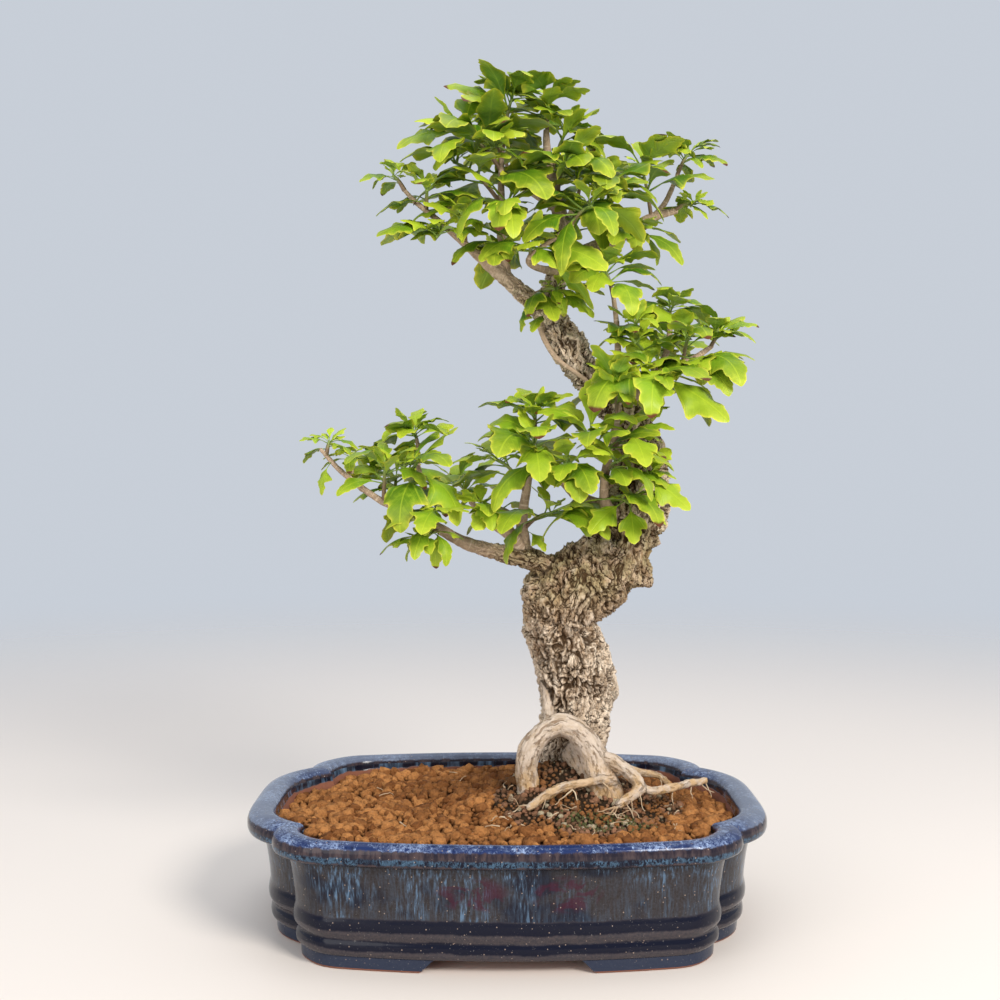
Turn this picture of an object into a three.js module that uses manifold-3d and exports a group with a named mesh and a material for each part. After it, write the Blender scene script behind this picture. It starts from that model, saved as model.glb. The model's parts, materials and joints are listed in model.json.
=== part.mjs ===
// A rose of sharon (Hibiscus syriacus) trained as a bonsai, in an oblong glazed pot with eight lobes.
// Millimetres, +Z up. The origin is the middle of the pot's footprint, on the surface that it stands on.
// +X is to the right of the pot's front, and the front faces -Y.
import * as THREE from "three";
import { mergeVertices } from "three/addons/utils/BufferGeometryUtils.js";
import Module from "manifold-3d";

const wasm = await Module();
wasm.setup();

// Driving dimensions
const POT_LENGTH = 272;
const POT_WIDTH = 217;
const POT_HEIGHT = 63.2;
const END_TAPER = 15;
const SIDE_TAPER = 10;
const FLOOR_UNDERSIDE = 6.6;
const FLOOR_TOP = 13;
const DRAIN_RADIUS = 10;
const DRAIN_X = 55;
const SCREEN_SIDE = 34;
const SCREEN_THICK = 1.2;
const SCREEN_CELLS = 2;
const SEAT_GAP = 0.3;
const BLADE_THICK = 0.8;
const PETIOLE_WIDTH = 1.1;
const STEM_RADIUS = 1.1;
const STEM_SIDES = 4;
const GRAIN = 13.5;
const OLD_GRAIN = 11;

const { cos, sin, floor, min, max, exp, hypot, PI } = Math;

// A repeatable number from 0 to 1 for three whole numbers
function draw(a, b, c) {
  const wave = sin(a * 12.9898 + b * 78.233 + c * 37.719) * 43758.5453;
  return wave - floor(wave);
}

function mix(a, b, t) {
  return a + (b - a) * t;
}

// Closed solids

function toSolid(positions, triangles) {
  const solid = new wasm.Manifold(
    new wasm.Mesh({
      numProp: 3,
      vertProperties: new Float32Array(positions),
      triVerts: new Uint32Array(triangles),
    }),
  );
  if (solid.volume() > 0) return solid;
  const turned = [];
  for (let i = 0; i < triangles.length; i += 3) {
    turned.push(triangles[i], triangles[i + 2], triangles[i + 1]);
  }
  return toSolid(positions, turned);
}

function geometryToSolid(geometry) {
  const bare = geometry.clone();
  bare.deleteAttribute("normal");
  bare.deleteAttribute("uv");
  const merged = mergeVertices(bare, 1e-4);
  return toSolid(merged.attributes.position.array, merged.index.array);
}

// Rings of the same number of points joined in order, with a fan over each end.
function loft(rings) {
  const positions = [];
  const triangles = [];
  const sides = rings[0].length;
  rings.forEach((ring) => ring.forEach((p) => positions.push(p.x, p.y, p.z)));
  for (let i = 0; i + 1 < rings.length; i++) {
    for (let k = 0; k < sides; k++) {
      const a = i * sides + k;
      const b = i * sides + ((k + 1) % sides);
      triangles.push(a, b, b + sides, a, b + sides, a + sides);
    }
  }
  [0, rings.length - 1].forEach((end) => {
    const middle = new THREE.Vector3();
    rings[end].forEach((p) => middle.addScaledVector(p, 1 / sides));
    const tip = positions.length / 3;
    positions.push(middle.x, middle.y, middle.z);
    for (let k = 0; k < sides; k++) {
      const a = end * sides + k;
      const b = end * sides + ((k + 1) % sides);
      if (end) triangles.push(a, b, tip);
      else triangles.push(b, a, tip);
    }
  });
  return toSolid(positions, triangles);
}

function join(solids) {
  return solids.reduce((whole, next) => whole.add(next));
}

// The largest body of a solid that a cut may have left in pieces.
function mainBody(solid) {
  const bodies = solid.decompose();
  return bodies.reduce((best, next) => (next.volume() > best.volume() ? next : best));
}

function box(sizeX, sizeY, sizeZ, x, y, z) {
  return geometryToSolid(new THREE.BoxGeometry(sizeX, sizeY, sizeZ).translate(x, y, z));
}

const root = new THREE.Group();

function addMesh(name, solid, material) {
  const { numProp, numVert, vertProperties, triVerts } = solid.getMesh();
  const positions = new Float32Array(numVert * 3);
  for (let i = 0; i < numVert; i++) {
    positions.set(vertProperties.subarray(i * numProp, i * numProp + 3), i * 3);
  }
  const geometry = new THREE.BufferGeometry();
  geometry.setAttribute("position", new THREE.BufferAttribute(positions, 3));
  geometry.setIndex(new THREE.BufferAttribute(triVerts, 1));
  const mesh = new THREE.Mesh(geometry, material);
  mesh.name = name;
  root.add(mesh);
}

function finish(color, roughness, metalness = 0) {
  return new THREE.MeshStandardMaterial({ color, roughness, metalness });
}

const GLAZE = finish(0x1d2f55, 0.15);
const CLAY_GRAINS = finish(0xb57c48, 0.95);
const OLD_SOIL = finish(0x6b4a34, 0.95);
const BARK = finish(0xa99a86, 0.9);
const LEAF = finish(0x5f9a2c, 0.5);
const PLASTIC_MESH = finish(0x22252a, 0.6);

// Pot
// The plan is four kinds of lobe, each an arc between two creases. spread 0 is the foot and 1 the rim's edge.
const END_LOBE = { bulge: 20, fullness: 4, steps: 6 };
const CORNER_LOBE = { bulge: 8, fullness: 2.6, steps: 4 };
const SIDE_LOBE = { bulge: 8, fullness: 2, steps: 6 };

function lobeArc(from, to, { bulge, fullness, steps }) {
  const chord = new THREE.Vector2().subVectors(to, from);
  const out = new THREE.Vector2(chord.y, -chord.x).normalize();
  const points = [];
  for (let i = 0; i < steps; i++) {
    const across = cos((PI * i) / steps);
    const height = bulge * (1 - Math.abs(across) ** fullness);
    points.push(new THREE.Vector2().lerpVectors(from, to, (1 - across) / 2).addScaledVector(out, height));
  }
  return points;
}

function potPlan(spread) {
  const endX = mix(POT_LENGTH / 2 - END_TAPER, POT_LENGTH / 2, spread);
  const sideY = mix(POT_WIDTH / 2 - SIDE_TAPER, POT_WIDTH / 2, spread);
  const endCrease = new THREE.Vector2(endX - END_LOBE.bulge, mix(57.5, 69, spread));
  const sideCrease = new THREE.Vector2(mix(80, 87, spread), sideY - SIDE_LOBE.bulge);
  const at = (p, x, y) => new THREE.Vector2(p.x * x, p.y * y);
  return [
    ...lobeArc(at(endCrease, 1, -1), at(endCrease, 1, 1), END_LOBE),
    ...lobeArc(at(endCrease, 1, 1), at(sideCrease, 1, 1), CORNER_LOBE),
    ...lobeArc(at(sideCrease, 1, 1), at(sideCrease, -1, 1), SIDE_LOBE),
    ...lobeArc(at(sideCrease, -1, 1), at(endCrease, -1, 1), CORNER_LOBE),
    ...lobeArc(at(endCrease, -1, 1), at(endCrease, -1, -1), END_LOBE),
    ...lobeArc(at(endCrease, -1, -1), at(sideCrease, -1, -1), CORNER_LOBE),
    ...lobeArc(at(sideCrease, -1, -1), at(sideCrease, 1, -1), SIDE_LOBE),
    ...lobeArc(at(sideCrease, 1, -1), at(endCrease, 1, -1), CORNER_LOBE),
  ];
}

function potRing(spread, z) {
  return potPlan(spread).map((p) => new THREE.Vector3(p.x, p.y, z));
}

// Each pair is the spread and the height: up the outside, over the rolled rim and down the inside.
const POT_PROFILE = [
  [0.02, 0],
  [0.06, 6.6],
  [0.26, 9.6],
  [0.08, 13],
  [0.26, 15.5],
  [0.32, 19.5],
  [0.12, 24.5],
  [0.5, 52.4],
  [0.94, 53.6],
  [1, 57],
  [0.91, 61.2],
  [0.6, POT_HEIGHT],
  [0.2, 62.6],
  [0.06, 60.2],
  [-0.1, 52],
  [-0.52, FLOOR_TOP],
];
const CAVITY_PROFILE = POT_PROFILE.slice(-3);
const CAVITY_GAP_SPREAD = 0.035;
const FOOT_INSET = -0.9;
const CUTOUT_TOP = 34;
const CUTOUT_BOTTOM = 43;
const END_CUTOUT_TOP = 22;
const END_CUTOUT_BOTTOM = 29;

// The gap between two feet: a sloping-sided bar that runs right through under the pot.
function footCutout(halfTop, halfBottom, length, turn) {
  const shape = new THREE.Shape();
  shape.moveTo(-halfBottom, -1);
  shape.lineTo(halfBottom, -1);
  shape.lineTo(halfTop, FLOOR_UNDERSIDE);
  shape.lineTo(-halfTop, FLOOR_UNDERSIDE);
  const bar = new THREE.ExtrudeGeometry(shape, { depth: length, bevelEnabled: false });
  return geometryToSolid(bar.translate(0, 0, -length / 2).rotateX(PI / 2).rotateZ(turn));
}

function drainHole(x) {
  const hole = new THREE.CylinderGeometry(DRAIN_RADIUS, DRAIN_RADIUS, FLOOR_TOP * 2, 16);
  return geometryToSolid(hole.rotateX(PI / 2).translate(x, 0, FLOOR_TOP));
}

function makePot() {
  const body = loft(POT_PROFILE.map(([spread, z]) => potRing(spread, z)));
  const recess = loft([potRing(FOOT_INSET, -1), potRing(FOOT_INSET, FLOOR_UNDERSIDE)]);
  return body
    .subtract(recess)
    .subtract(footCutout(CUTOUT_TOP, CUTOUT_BOTTOM, POT_WIDTH, 0))
    .subtract(footCutout(END_CUTOUT_TOP, END_CUTOUT_BOTTOM, POT_LENGTH, PI / 2))
    .subtract(drainHole(-DRAIN_X))
    .subtract(drainHole(DRAIN_X));
}

// Drain screens: a square of plastic mesh over each drain hole.
const SCREEN_Z = FLOOR_TOP + SEAT_GAP;

function makeScreen(x) {
  const pitch = SCREEN_SIDE / (SCREEN_CELLS + 0.4);
  const opening = pitch * 0.6;
  const middle = SCREEN_Z + SCREEN_THICK / 2;
  let plate = box(SCREEN_SIDE, SCREEN_SIDE, SCREEN_THICK, x, 0, middle);
  for (let i = 0; i < SCREEN_CELLS; i++) {
    for (let k = 0; k < SCREEN_CELLS; k++) {
      const across = (i - (SCREEN_CELLS - 1) / 2) * pitch;
      const along = (k - (SCREEN_CELLS - 1) / 2) * pitch;
      plate = plate.subtract(box(opening, opening, SCREEN_THICK * 3, x + across, along, middle));
    }
  }
  return plate;
}

// Wood
// Each limb is a hand-chosen route of [x, y, z, radius]. Its first point lies inside the limb that carries it.
const LIMBS = {
  trunk: {
    sides: 11,
    relief: 0.09,
    route: [
      [35, 13, 50, 20],
      [35.5, 14, 80, 18.6],
      [36.5, 13, 97, 17.8],
      [37, 11, 117, 19.4],
      [34, 8, 137, 20.2],
      [29, 4, 153, 19.6],
      [29.5, 1, 165, 21.6],
      [37, 1, 174, 22.5],
      [47, 2, 182, 21],
      [57, 4, 190, 18.5],
      [66, 7, 204, 16.4],
      [70, 10, 221, 17],
      [73, 12, 243, 13.9],
      [72, 13, 254, 12.4],
      [67, 14, 265, 11.5],
      [58, 14, 274, 10.8],
      [49, 13, 283, 9.9],
      [35, 11, 302, 9.3],
      [26, 8, 319, 8.2],
      [25, 8, 331, 6.8],
      [29, 6, 350, 5.4],
      [30, 5, 367, 4.6],
      [26, 4, 386, 3.5],
      [22, 2, 405, 2.5],
      [21, 1, 421, 1.6],
    ],
  },
  back_lobe: {
    sides: 7,
    relief: 0.1,
    route: [
      [42, 16, 150, 6],
      [46, 20, 138, 9.5],
      [49, 22, 124, 11.2],
      [49.5, 23, 110, 11.2],
      [47, 22, 96, 9.4],
      [43, 20, 80, 8],
    ],
  },
  knob: { sides: 6, relief: 0.08, route: [[58, 4, 197, 13], [67, 3, 190, 11.2], [70, 2, 183, 9.4], [70.5, 1, 175.5, 8.4]] },
  burl: { sides: 6, relief: 0.08, route: [[56, -2, 196, 10], [57, -10, 190, 8], [57.5, -15, 187, 5.6]] },
  root_strip: {
    sides: 5,
    relief: 0.05,
    route: [[19, 2, 141, 3.2], [19.5, 0, 122, 2.8], [20.5, -4, 108, 3], [21, -14, 101, 3.6]],
  },
  root_loop: {
    sides: 7,
    relief: 0.05,
    route: [
      [12, -20, 56, 6.6],
      [11, -21, 70, 6.4],
      [10, -22, 82, 6.3],
      [13, -22, 93, 6.2],
      [20, -21, 101, 6],
      [28, -20, 104, 6],
      [36, -20, 101, 6.3],
      [42, -21, 95, 6.8],
      [46, -22, 88, 7.5],
      [52, -24, 68, 9.6],
      [54, -24, 56, 10.5],
    ],
  },
  root_shoulder: { sides: 6, relief: 0.06, route: [[40, 2, 84, 12], [47, -12, 76, 10], [50, -22, 66, 9]] },
  root_front: {
    sides: 5,
    relief: 0.06,
    route: [
      [47, -22, 88, 5],
      [55, -26, 86, 4.2],
      [62, -30, 82, 3.6],
      [67, -34, 78, 3.5],
      [68, -38, 74, 3.4],
      [56, -46, 67, 2.4],
    ],
  },
  root_right: {
    sides: 4,
    relief: 0.05,
    route: [
      [66, -36, 76, 2.8],
      [75, -36, 73, 2.4],
      [95, -21, 73, 2],
      [107, -10, 72, 1.6],
    ],
  },
  root_left: {
    sides: 4,
    relief: 0.05,
    route: [
      [56, -28, 76, 2.6],
      [48, -34, 78, 2.3],
      [30, -40, 76, 2.7],
      [20, -43, 72, 2.6],
      [10, -46, 66, 2.2],
    ],
  },
  root_back: {
    sides: 4,
    relief: 0.05,
    route: [[54, -16, 78, 3.2], [64, -10, 78, 2.6], [74, -4, 75, 2.2], [83, 0, 72, 2], [90, 2, 64, 1.8]],
  },
  root_spread: {
    sides: 5,
    relief: 0.08,
    route: [[36, 22, 84, 10], [34, 34, 74, 7], [30, 46, 64, 5], [26, 56, 54, 4]],
  },
  low_left: {
    sides: 6,
    relief: 0.06,
    route: [
      [34, 1, 181, 9],
      [12, -6, 190, 6.1],
      [1, -9, 193, 5.1],
      [-22, -13, 200, 3.5],
      [-35, -14, 207, 3],
      [-54, -16, 218, 2.3],
      [-66, -17, 222, 2],
      [-86, -20, 237, 1.6],
      [-98, -22, 250, 1.2],
    ],
  },
  low_up: {
    sides: 5,
    relief: 0.05,
    route: [
      [9, -6, 190, 4.6],
      [9, -6, 201, 3.7],
      [8, -7, 211, 3.2],
      [11, -9, 231, 2.3],
      [14, -11, 251, 1.6],
      [15, -12, 262, 1.3],
    ],
  },
  low_stub: { sides: 4, relief: 0.04, route: [[8, -7, 195, 3.2], [3, -13, 204, 2.9], [-2, -17, 211, 2.6]] },
  low_left_up: {
    sides: 4,
    relief: 0.04,
    route: [[-38, -15, 208, 2.3], [-41, -14, 218, 2], [-44, -14, 229, 1.7], [-47, -14, 241, 1.4], [-47, -14, 253, 1.1]],
  },
  low_left_twig: { sides: 4, relief: 0.04, route: [[-76, -18, 228, 1.6], [-81, -14, 234, 1.3], [-83, -11, 242, 1.1]] },
  low_back: {
    sides: 5,
    relief: 0.05,
    route: [[28, 4, 178, 6], [14, 19, 191, 4], [2, 33, 201, 3.2], [-10, 45, 209, 2.5], [-21, 54, 220, 1.8]],
  },
  bough: {
    sides: 5,
    relief: 0.05,
    route: [[58, 7, 214, 6], [47, -2, 219, 4.4], [39, -9, 224, 3.6], [32, -16, 230, 2.8], [26, -22, 236, 2.1]],
  },
  bough_stub: { sides: 4, relief: 0.05, route: [[56, 5, 208, 5.4], [46, -5, 212, 4.3], [39, -12, 213, 3.7]] },
  front_twig: {
    sides: 5,
    relief: 0.04,
    route: [
      [58, -2, 213, 4.2],
      [52, -14, 221, 3.2],
      [51, -22, 231, 2.8],
      [52, -25, 241, 2.5],
      [56, -29, 257, 1.9],
      [58, -32, 274, 1.4],
    ],
  },
  trunk_bud: { sides: 4, relief: 0, route: [[74, 9, 197, 3], [84, 11, 199, 1.9]] },
  mid_knob: { sides: 6, relief: 0.08, route: [[54, 12, 276, 9], [56, 7, 285, 7], [59, 3, 292, 5.4], [59, 2, 297, 4.6]] },
  mid_up: {
    sides: 4,
    relief: 0.04,
    route: [[57, 6, 284, 3], [60, -2, 292, 2.2], [59, -6, 305, 1.9], [58, -8, 319, 1.7], [56, -10, 333, 1.4]],
  },
  mid_right: {
    sides: 5,
    relief: 0.05,
    route: [
      [60, 12, 270, 5.5],
      [68, 5, 278, 4],
      [76, -1, 285, 3.2],
      [91, -5, 294, 2.3],
      [100, -6, 298, 1.9],
      [110, -6, 305, 1.4],
    ],
  },
  mid_right_up: { sides: 4, relief: 0.04, route: [[79, -3, 287, 2.6], [84, -2, 297, 2.1], [87, 0, 308, 1.8], [88, 2, 320, 1.4]] },
  mid_back: { sides: 5, relief: 0.05, route: [[61, 16, 268, 5], [71, 32, 278, 3.5], [81, 46, 288, 2.8], [89, 57, 299, 2.1]] },
  crown_left: {
    sides: 6,
    relief: 0.06,
    route: [
      [25, 8, 318, 7.4],
      [16, 0, 328, 5.5],
      [7, -6, 334, 4.8],
      [0, -11, 339, 4.4],
      [-7, -14, 345, 3.9],
      [-16, -17, 352, 3.2],
    ],
  },
  crown_left_arm: {
    sides: 4,
    relief: 0.05,
    route: [
      [-10, -15, 347, 3],
      [-19, -18, 354, 2.4],
      [-33, -22, 366, 1.9],
      [-47, -26, 377, 1.5],
      [-54, -29, 384, 1.2],
    ],
  },
  crown_left_up: {
    sides: 5,
    relief: 0.05,
    route: [
      [0, -11, 338, 3.4],
      [-3, -14, 360, 2.5],
      [-3, -14, 373, 2.2],
      [-3, -12, 399, 1.7],
      [-2, -11, 412, 1.4],
    ],
  },
  crown_front_arm: {
    sides: 4,
    relief: 0.05,
    route: [[28, 6, 346, 3], [20, -6, 345, 2.2], [12, -15, 347, 1.9], [13, -22, 351, 1.7], [24, -28, 358, 1.5], [34, -32, 365, 1.2]],
  },
  crown_right: {
    sides: 5,
    relief: 0.06,
    route: [
      [28, 7, 347, 5.4],
      [37, 12, 354, 4.5],
      [47, 16, 359, 4.1],
      [67, 20, 369, 3.4],
      [77, 20, 376, 2.8],
      [94, 20, 381, 1.9],
    ],
  },
  crown_right_up: { sides: 4, relief: 0.04, route: [[81, 20, 377, 2.4], [87, 22, 385, 1.8], [91, 23, 393, 1.6], [95, 24, 403, 1.3]] },
  crown_back: { sides: 4, relief: 0.05, route: [[30, 6, 360, 4.2], [33, 24, 371, 3.3], [37, 38, 382, 2.7], [41, 50, 394, 2.1]] },
  crown_back_left: { sides: 4, relief: 0.05, route: [[27, 5, 380, 3.5], [18, 21, 389, 2.8], [9, 34, 397, 2.3], [1, 44, 407, 1.7]] },
};
const LIMB_NAMES = Object.keys(LIMBS);

// Directions along a route, each averaged over the two stretches that meet there.
function routeDirections(points) {
  return points.map((p, i) => {
    const before = points[max(i - 1, 0)];
    const after = points[min(i + 1, points.length - 1)];
    return new THREE.Vector3().subVectors(after, before).normalize();
  });
}

// A tapering limb with a slightly rough skin. grow adds to its radius.
function limbSolid(name, grow) {
  const { sides, relief, route } = LIMBS[name];
  const seed = LIMB_NAMES.indexOf(name);
  const points = route.map(([x, y, z]) => new THREE.Vector3(x, y, z));
  const directions = routeDirections(points);
  const across = new THREE.Vector3(0, 1, 0);
  const rings = points.map((p, i) => {
    across.addScaledVector(directions[i], -across.dot(directions[i])).normalize();
    const beside = new THREE.Vector3().crossVectors(directions[i], across);
    const radius = route[i][3];
    const ring = [];
    for (let k = 0; k < sides; k++) {
      const angle = (2 * PI * k) / sides;
      const reach = radius * (1 + relief * (2 * draw(seed, i, k) - 1)) + grow;
      ring.push(
        p
          .clone()
          .addScaledVector(across, reach * cos(angle))
          .addScaledVector(beside, reach * sin(angle)),
      );
    }
    return ring;
  });
  return loft(rings);
}

function makeWood(grow) {
  return join(LIMB_NAMES.map((name) => limbSolid(name, grow)));
}

// A place on a limb's route, part being 0 at its foot and 1 at its tip.
function placeOn(name, part) {
  const route = LIMBS[name].route;
  const along = part * (route.length - 1);
  const i = min(floor(along), route.length - 2);
  const here = new THREE.Vector3(...route[i].slice(0, 3));
  return here.lerp(new THREE.Vector3(...route[i + 1].slice(0, 3)), along - i);
}

// Leafy shoots: the limb and the place on it, the tip, the number of leaves and the length of a full blade.
const SHOOTS = {
  crown_top: ["trunk", 0.985, [22, -2, 437], 8, 32],
  crown_left_top: ["crown_left_up", 0.96, [3, -10, 436], 8, 32],
  crown_left_out: ["crown_left_up", 0.72, [-25, -22, 415], 8, 32],
  crown_left_low: ["crown_left_up", 0.55, [-28, -25, 398], 8, 32],
  crown_front_left: ["crown_left_up", 0.84, [-8, -36, 403], 7, 30],
  crown_inner: ["crown_left_up", 0.5, [1, -40, 373], 7, 31],
  crown_under: ["crown_left_up", 0.22, [-4, -31, 351], 5, 30],
  crown_right_top: ["trunk", 0.94, [32, -6, 419], 8, 30],
  crown_front: ["trunk", 0.91, [30, -28, 396], 8, 31],
  crown_front_right: ["trunk", 0.86, [54, -18, 387], 8, 31],
  arm_end: ["crown_front_arm", 0.95, [43, -40, 373], 6, 30],
  big_front: ["crown_front_arm", 0.45, [12, -36, 352], 5, 32],
  left_tip: ["crown_left_arm", 0.97, [-59, -31, 390], 6, 20],
  left_mid: ["crown_left_arm", 0.66, [-41, -34, 382], 6, 26],
  left_front: ["crown_left_arm", 0.3, [-22, -35, 369], 6, 26],
  left_hang: ["crown_left_arm", 0.45, [-36, -34, 358], 4, 32],
  right_up: ["crown_right", 0.83, [72, 4, 402], 7, 28],
  right_tip: ["crown_right_up", 0.95, [101, 22, 413], 8, 24],
  right_end: ["crown_right", 0.97, [103, 12, 383], 6, 24],
  right_low: ["crown_right", 0.62, [67, 0, 363], 5, 30],
  right_mid: ["crown_right", 0.45, [52, -8, 379], 7, 28],
  back_tip: ["crown_back", 0.96, [45, 60, 408], 9, 31],
  back_left: ["crown_back_left", 0.96, [-6, 53, 420], 9, 31],
  fork: ["crown_left", 0.28, [27, -12, 334], 6, 22],
  mid_top: ["mid_up", 0.95, [51, -14, 345], 7, 26],
  mid_side: ["mid_up", 0.6, [68, -22, 314], 5, 24],
  pad_top: ["mid_right_up", 0.95, [88, 2, 326], 8, 26],
  pad_end: ["mid_right", 0.97, [114, -8, 311], 7, 24],
  pad_low: ["mid_right", 0.8, [98, -22, 290], 5, 32],
  pad_front: ["mid_right", 0.45, [67, -22, 305], 7, 31],
  pad_mid: ["mid_right", 0.66, [95, -22, 308], 7, 27],
  pad_hang: ["mid_right", 0.4, [76, -38, 284], 7, 36],
  pad_back_tip: ["mid_back", 0.96, [97, 68, 311], 9, 29],
  low_top: ["low_up", 0.96, [15, -13, 269], 9, 27],
  low_big: ["low_up", 0.7, [14, -30, 252], 5, 35],
  low_out: ["low_up", 0.55, [-5, -19, 244], 6, 28],
  low_under: ["low_up", 0.4, [-14, -21, 219], 5, 26],
  low_right: ["low_up", 0.3, [24, -18, 216], 4, 31],
  bough_tip: ["bough", 0.95, [33, -36, 243], 7, 31],
  front_mid: ["front_twig", 0.6, [42, -37, 256], 6, 30],
  front_top: ["front_twig", 0.9, [55, -38, 283], 7, 30],
  front_right: ["front_twig", 0.68, [63, -38, 258], 6, 31],
  trunk_cover: ["front_twig", 0.45, [56, -44, 243], 6, 34],
  trunk_right: ["front_twig", 0.35, [75, -26, 236], 5, 32],
  trunk_front: ["front_twig", 0.25, [64, -24, 221], 5, 28],
  low_back_tip: ["low_back", 0.96, [-29, 62, 230], 9, 28],
  left_end: ["low_left", 0.965, [-93, -20, 254], 6, 20],
  left_twig: ["low_left_twig", 0.95, [-83, -7, 247], 6, 20],
  left_front_pad: ["low_left", 0.74, [-63, -31, 241], 7, 28],
  pad_left_top: ["low_left_up", 0.96, [-49, -14, 259], 8, 26],
  pad_left_front: ["low_left_up", 0.5, [-55, -26, 240], 6, 30],
  pad_left_back: ["low_left", 0.68, [-60, 4, 234], 7, 26],
  pad_left_low: ["low_left", 0.57, [-33, -31, 217], 6, 27],
  pad_left_under: ["low_left", 0.5, [-44, -24, 201], 5, 24],
};
const SHOOT_NAMES = Object.keys(SHOOTS);
const YOUNG_EVERY = 3;
const YOUNG_TURN = 2;
const GOLDEN_TURN = (137.5 * PI) / 180;
const TRIES = 7;
const CLEAR_SHARE = 0.17;
const CROSSING_MM3 = 1.5;

// Half outline of the lobed blade: [place from base to tip, half width], both as shares of its length.
const BLADE_OUTLINE = [
  [0, 0.03],
  [0.56, 0.42],
  [0.65, 0.25],
  [0.83, 0.22],
];
const PETIOLE_SHARE = 0.28;

function stemPoint(shoot, part) {
  const bow = 0.12 * shoot.length * sin(PI * part);
  return shoot.foot.clone().lerp(shoot.tip, part).add(new THREE.Vector3(0, 0, bow));
}

// One leaf: where its stalk starts, its heading and pitch, how far the blade droops, its roll and its length.
function leafPose(shoot, i, attempt) {
  const part = mix(0.22, 1, (i + 0.6) / shoot.count);
  const wobble = (k) => 2 * draw(shoot.seed, i, k + 10 * attempt) - 1;
  const turn = shoot.seed * 1.7 + i * GOLDEN_TURN + 0.5 * wobble(1) + attempt * 0.9;
  const lean = 0.75 * part;
  const heading = new THREE.Vector3(cos(turn), sin(turn), 0)
    .addScaledVector(shoot.direction, lean)
    .add(new THREE.Vector3(0, 0, mix(0, 0.5, part) + 0.3 * wobble(2) + 0.1 * attempt))
    .normalize();
  const flat = hypot(heading.x, heading.y);
  return {
    start: stemPoint(shoot, part),
    azimuth: Math.atan2(heading.y, heading.x),
    pitch: Math.atan2(heading.z, flat),
    droop: 1.4 + 0.6 * wobble(3),
    roll: 0.45 * wobble(4),
    length: shoot.blade * (1 - 0.3 * part * part) * (1 + 0.16 * wobble(5)),
  };
}

// The middle line and the side direction of a leaf at a place from the stalk's start (-PETIOLE_SHARE) to the tip (1).
function leafFrame(pose, place) {
  const { azimuth, pitch, droop, roll, length } = pose;
  const away = new THREE.Vector3(cos(azimuth), sin(azimuth), 0);
  const stalk = PETIOLE_SHARE * length;
  const onBlade = max(place, 0);
  const angle = pitch - droop * onBlade;
  let forward = (min(place, 0) + PETIOLE_SHARE) * length * cos(pitch);
  let rise = (min(place, 0) + PETIOLE_SHARE) * length * sin(pitch);
  if (onBlade > 0) {
    forward = stalk * cos(pitch) + (length / droop) * (sin(pitch) - sin(angle));
    rise = stalk * sin(pitch) + (length / droop) * (cos(angle) - cos(pitch));
  }
  const middle = pose.start.clone().addScaledVector(away, forward);
  middle.z += rise;
  const along = away.clone().multiplyScalar(cos(angle));
  along.z = sin(angle);
  const level = new THREE.Vector3(-sin(azimuth), cos(azimuth), 0);
  const upright = new THREE.Vector3().crossVectors(along, level);
  const side = level.multiplyScalar(cos(roll)).addScaledVector(upright, sin(roll));
  const normal = new THREE.Vector3().crossVectors(along, side);
  return { middle, side, normal };
}

// Places that stand for a leaf when its distance to other leaves is judged.
const FEELERS = [
  [0.2, 0],
  [0.55, 0],
  [0.95, 0],
  [0.55, 0.3],
  [0.55, -0.3],
];

function leafFeelers(pose) {
  return FEELERS.map(([place, width]) => {
    const { middle, side } = leafFrame(pose, place);
    return middle.addScaledVector(side, width * pose.length);
  });
}

function tooClose(feelers, length, placed) {
  const clear = CLEAR_SHARE * length;
  return placed.some((p) => feelers.some((q) => q.distanceToSquared(p) < clear * clear));
}

// A blade is a thin plate that follows the leaf's middle line. Its stalk tapers to a point inside the stem.
function leafSolid(pose, grow) {
  const { length } = pose;
  const lift = BLADE_THICK / 2 + grow;
  const positions = [];
  const put = (p) => positions.push(p.x, p.y, p.z);
  [lift, -lift].forEach((up) => {
    BLADE_OUTLINE.forEach(([place, share]) => {
      const { middle, side, normal } = leafFrame(pose, place);
      const half = max(share * length, PETIOLE_WIDTH / 2) + grow;
      put(middle.clone().addScaledVector(side, half).addScaledVector(normal, up));
      put(middle.clone().addScaledVector(side, -half).addScaledVector(normal, up));
    });
    const tip = leafFrame(pose, 1 + grow / length);
    put(tip.middle.addScaledVector(tip.normal, up));
  });
  put(pose.start);
  const tip = BLADE_OUTLINE.length * 2;
  const face = tip + 1;
  const heel = 2 * face;
  const upper = [heel, 0, 1];
  for (let i = 0; i + 2 < tip; i += 2) upper.push(i, i + 2, i + 1, i + 1, i + 2, i + 3);
  upper.push(tip - 2, tip, tip - 1);
  const below = (i) => (i === heel ? heel : i + face);
  const triangles = [...upper];
  for (let i = 0; i < upper.length; i += 3) {
    triangles.push(below(upper[i]), below(upper[i + 2]), below(upper[i + 1]));
  }
  const edge = [];
  for (let i = 0; i <= tip; i += 2) edge.push(i);
  for (let i = tip - 1; i > 0; i -= 2) edge.push(i);
  for (let i = 0; i + 1 < edge.length; i++) {
    const [a, b] = [edge[i], edge[i + 1]];
    triangles.push(a, below(a), b, b, below(a), below(b));
  }
  triangles.push(0, heel, below(0), 1, below(1), heel);
  return toSolid(positions, triangles);
}

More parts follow.
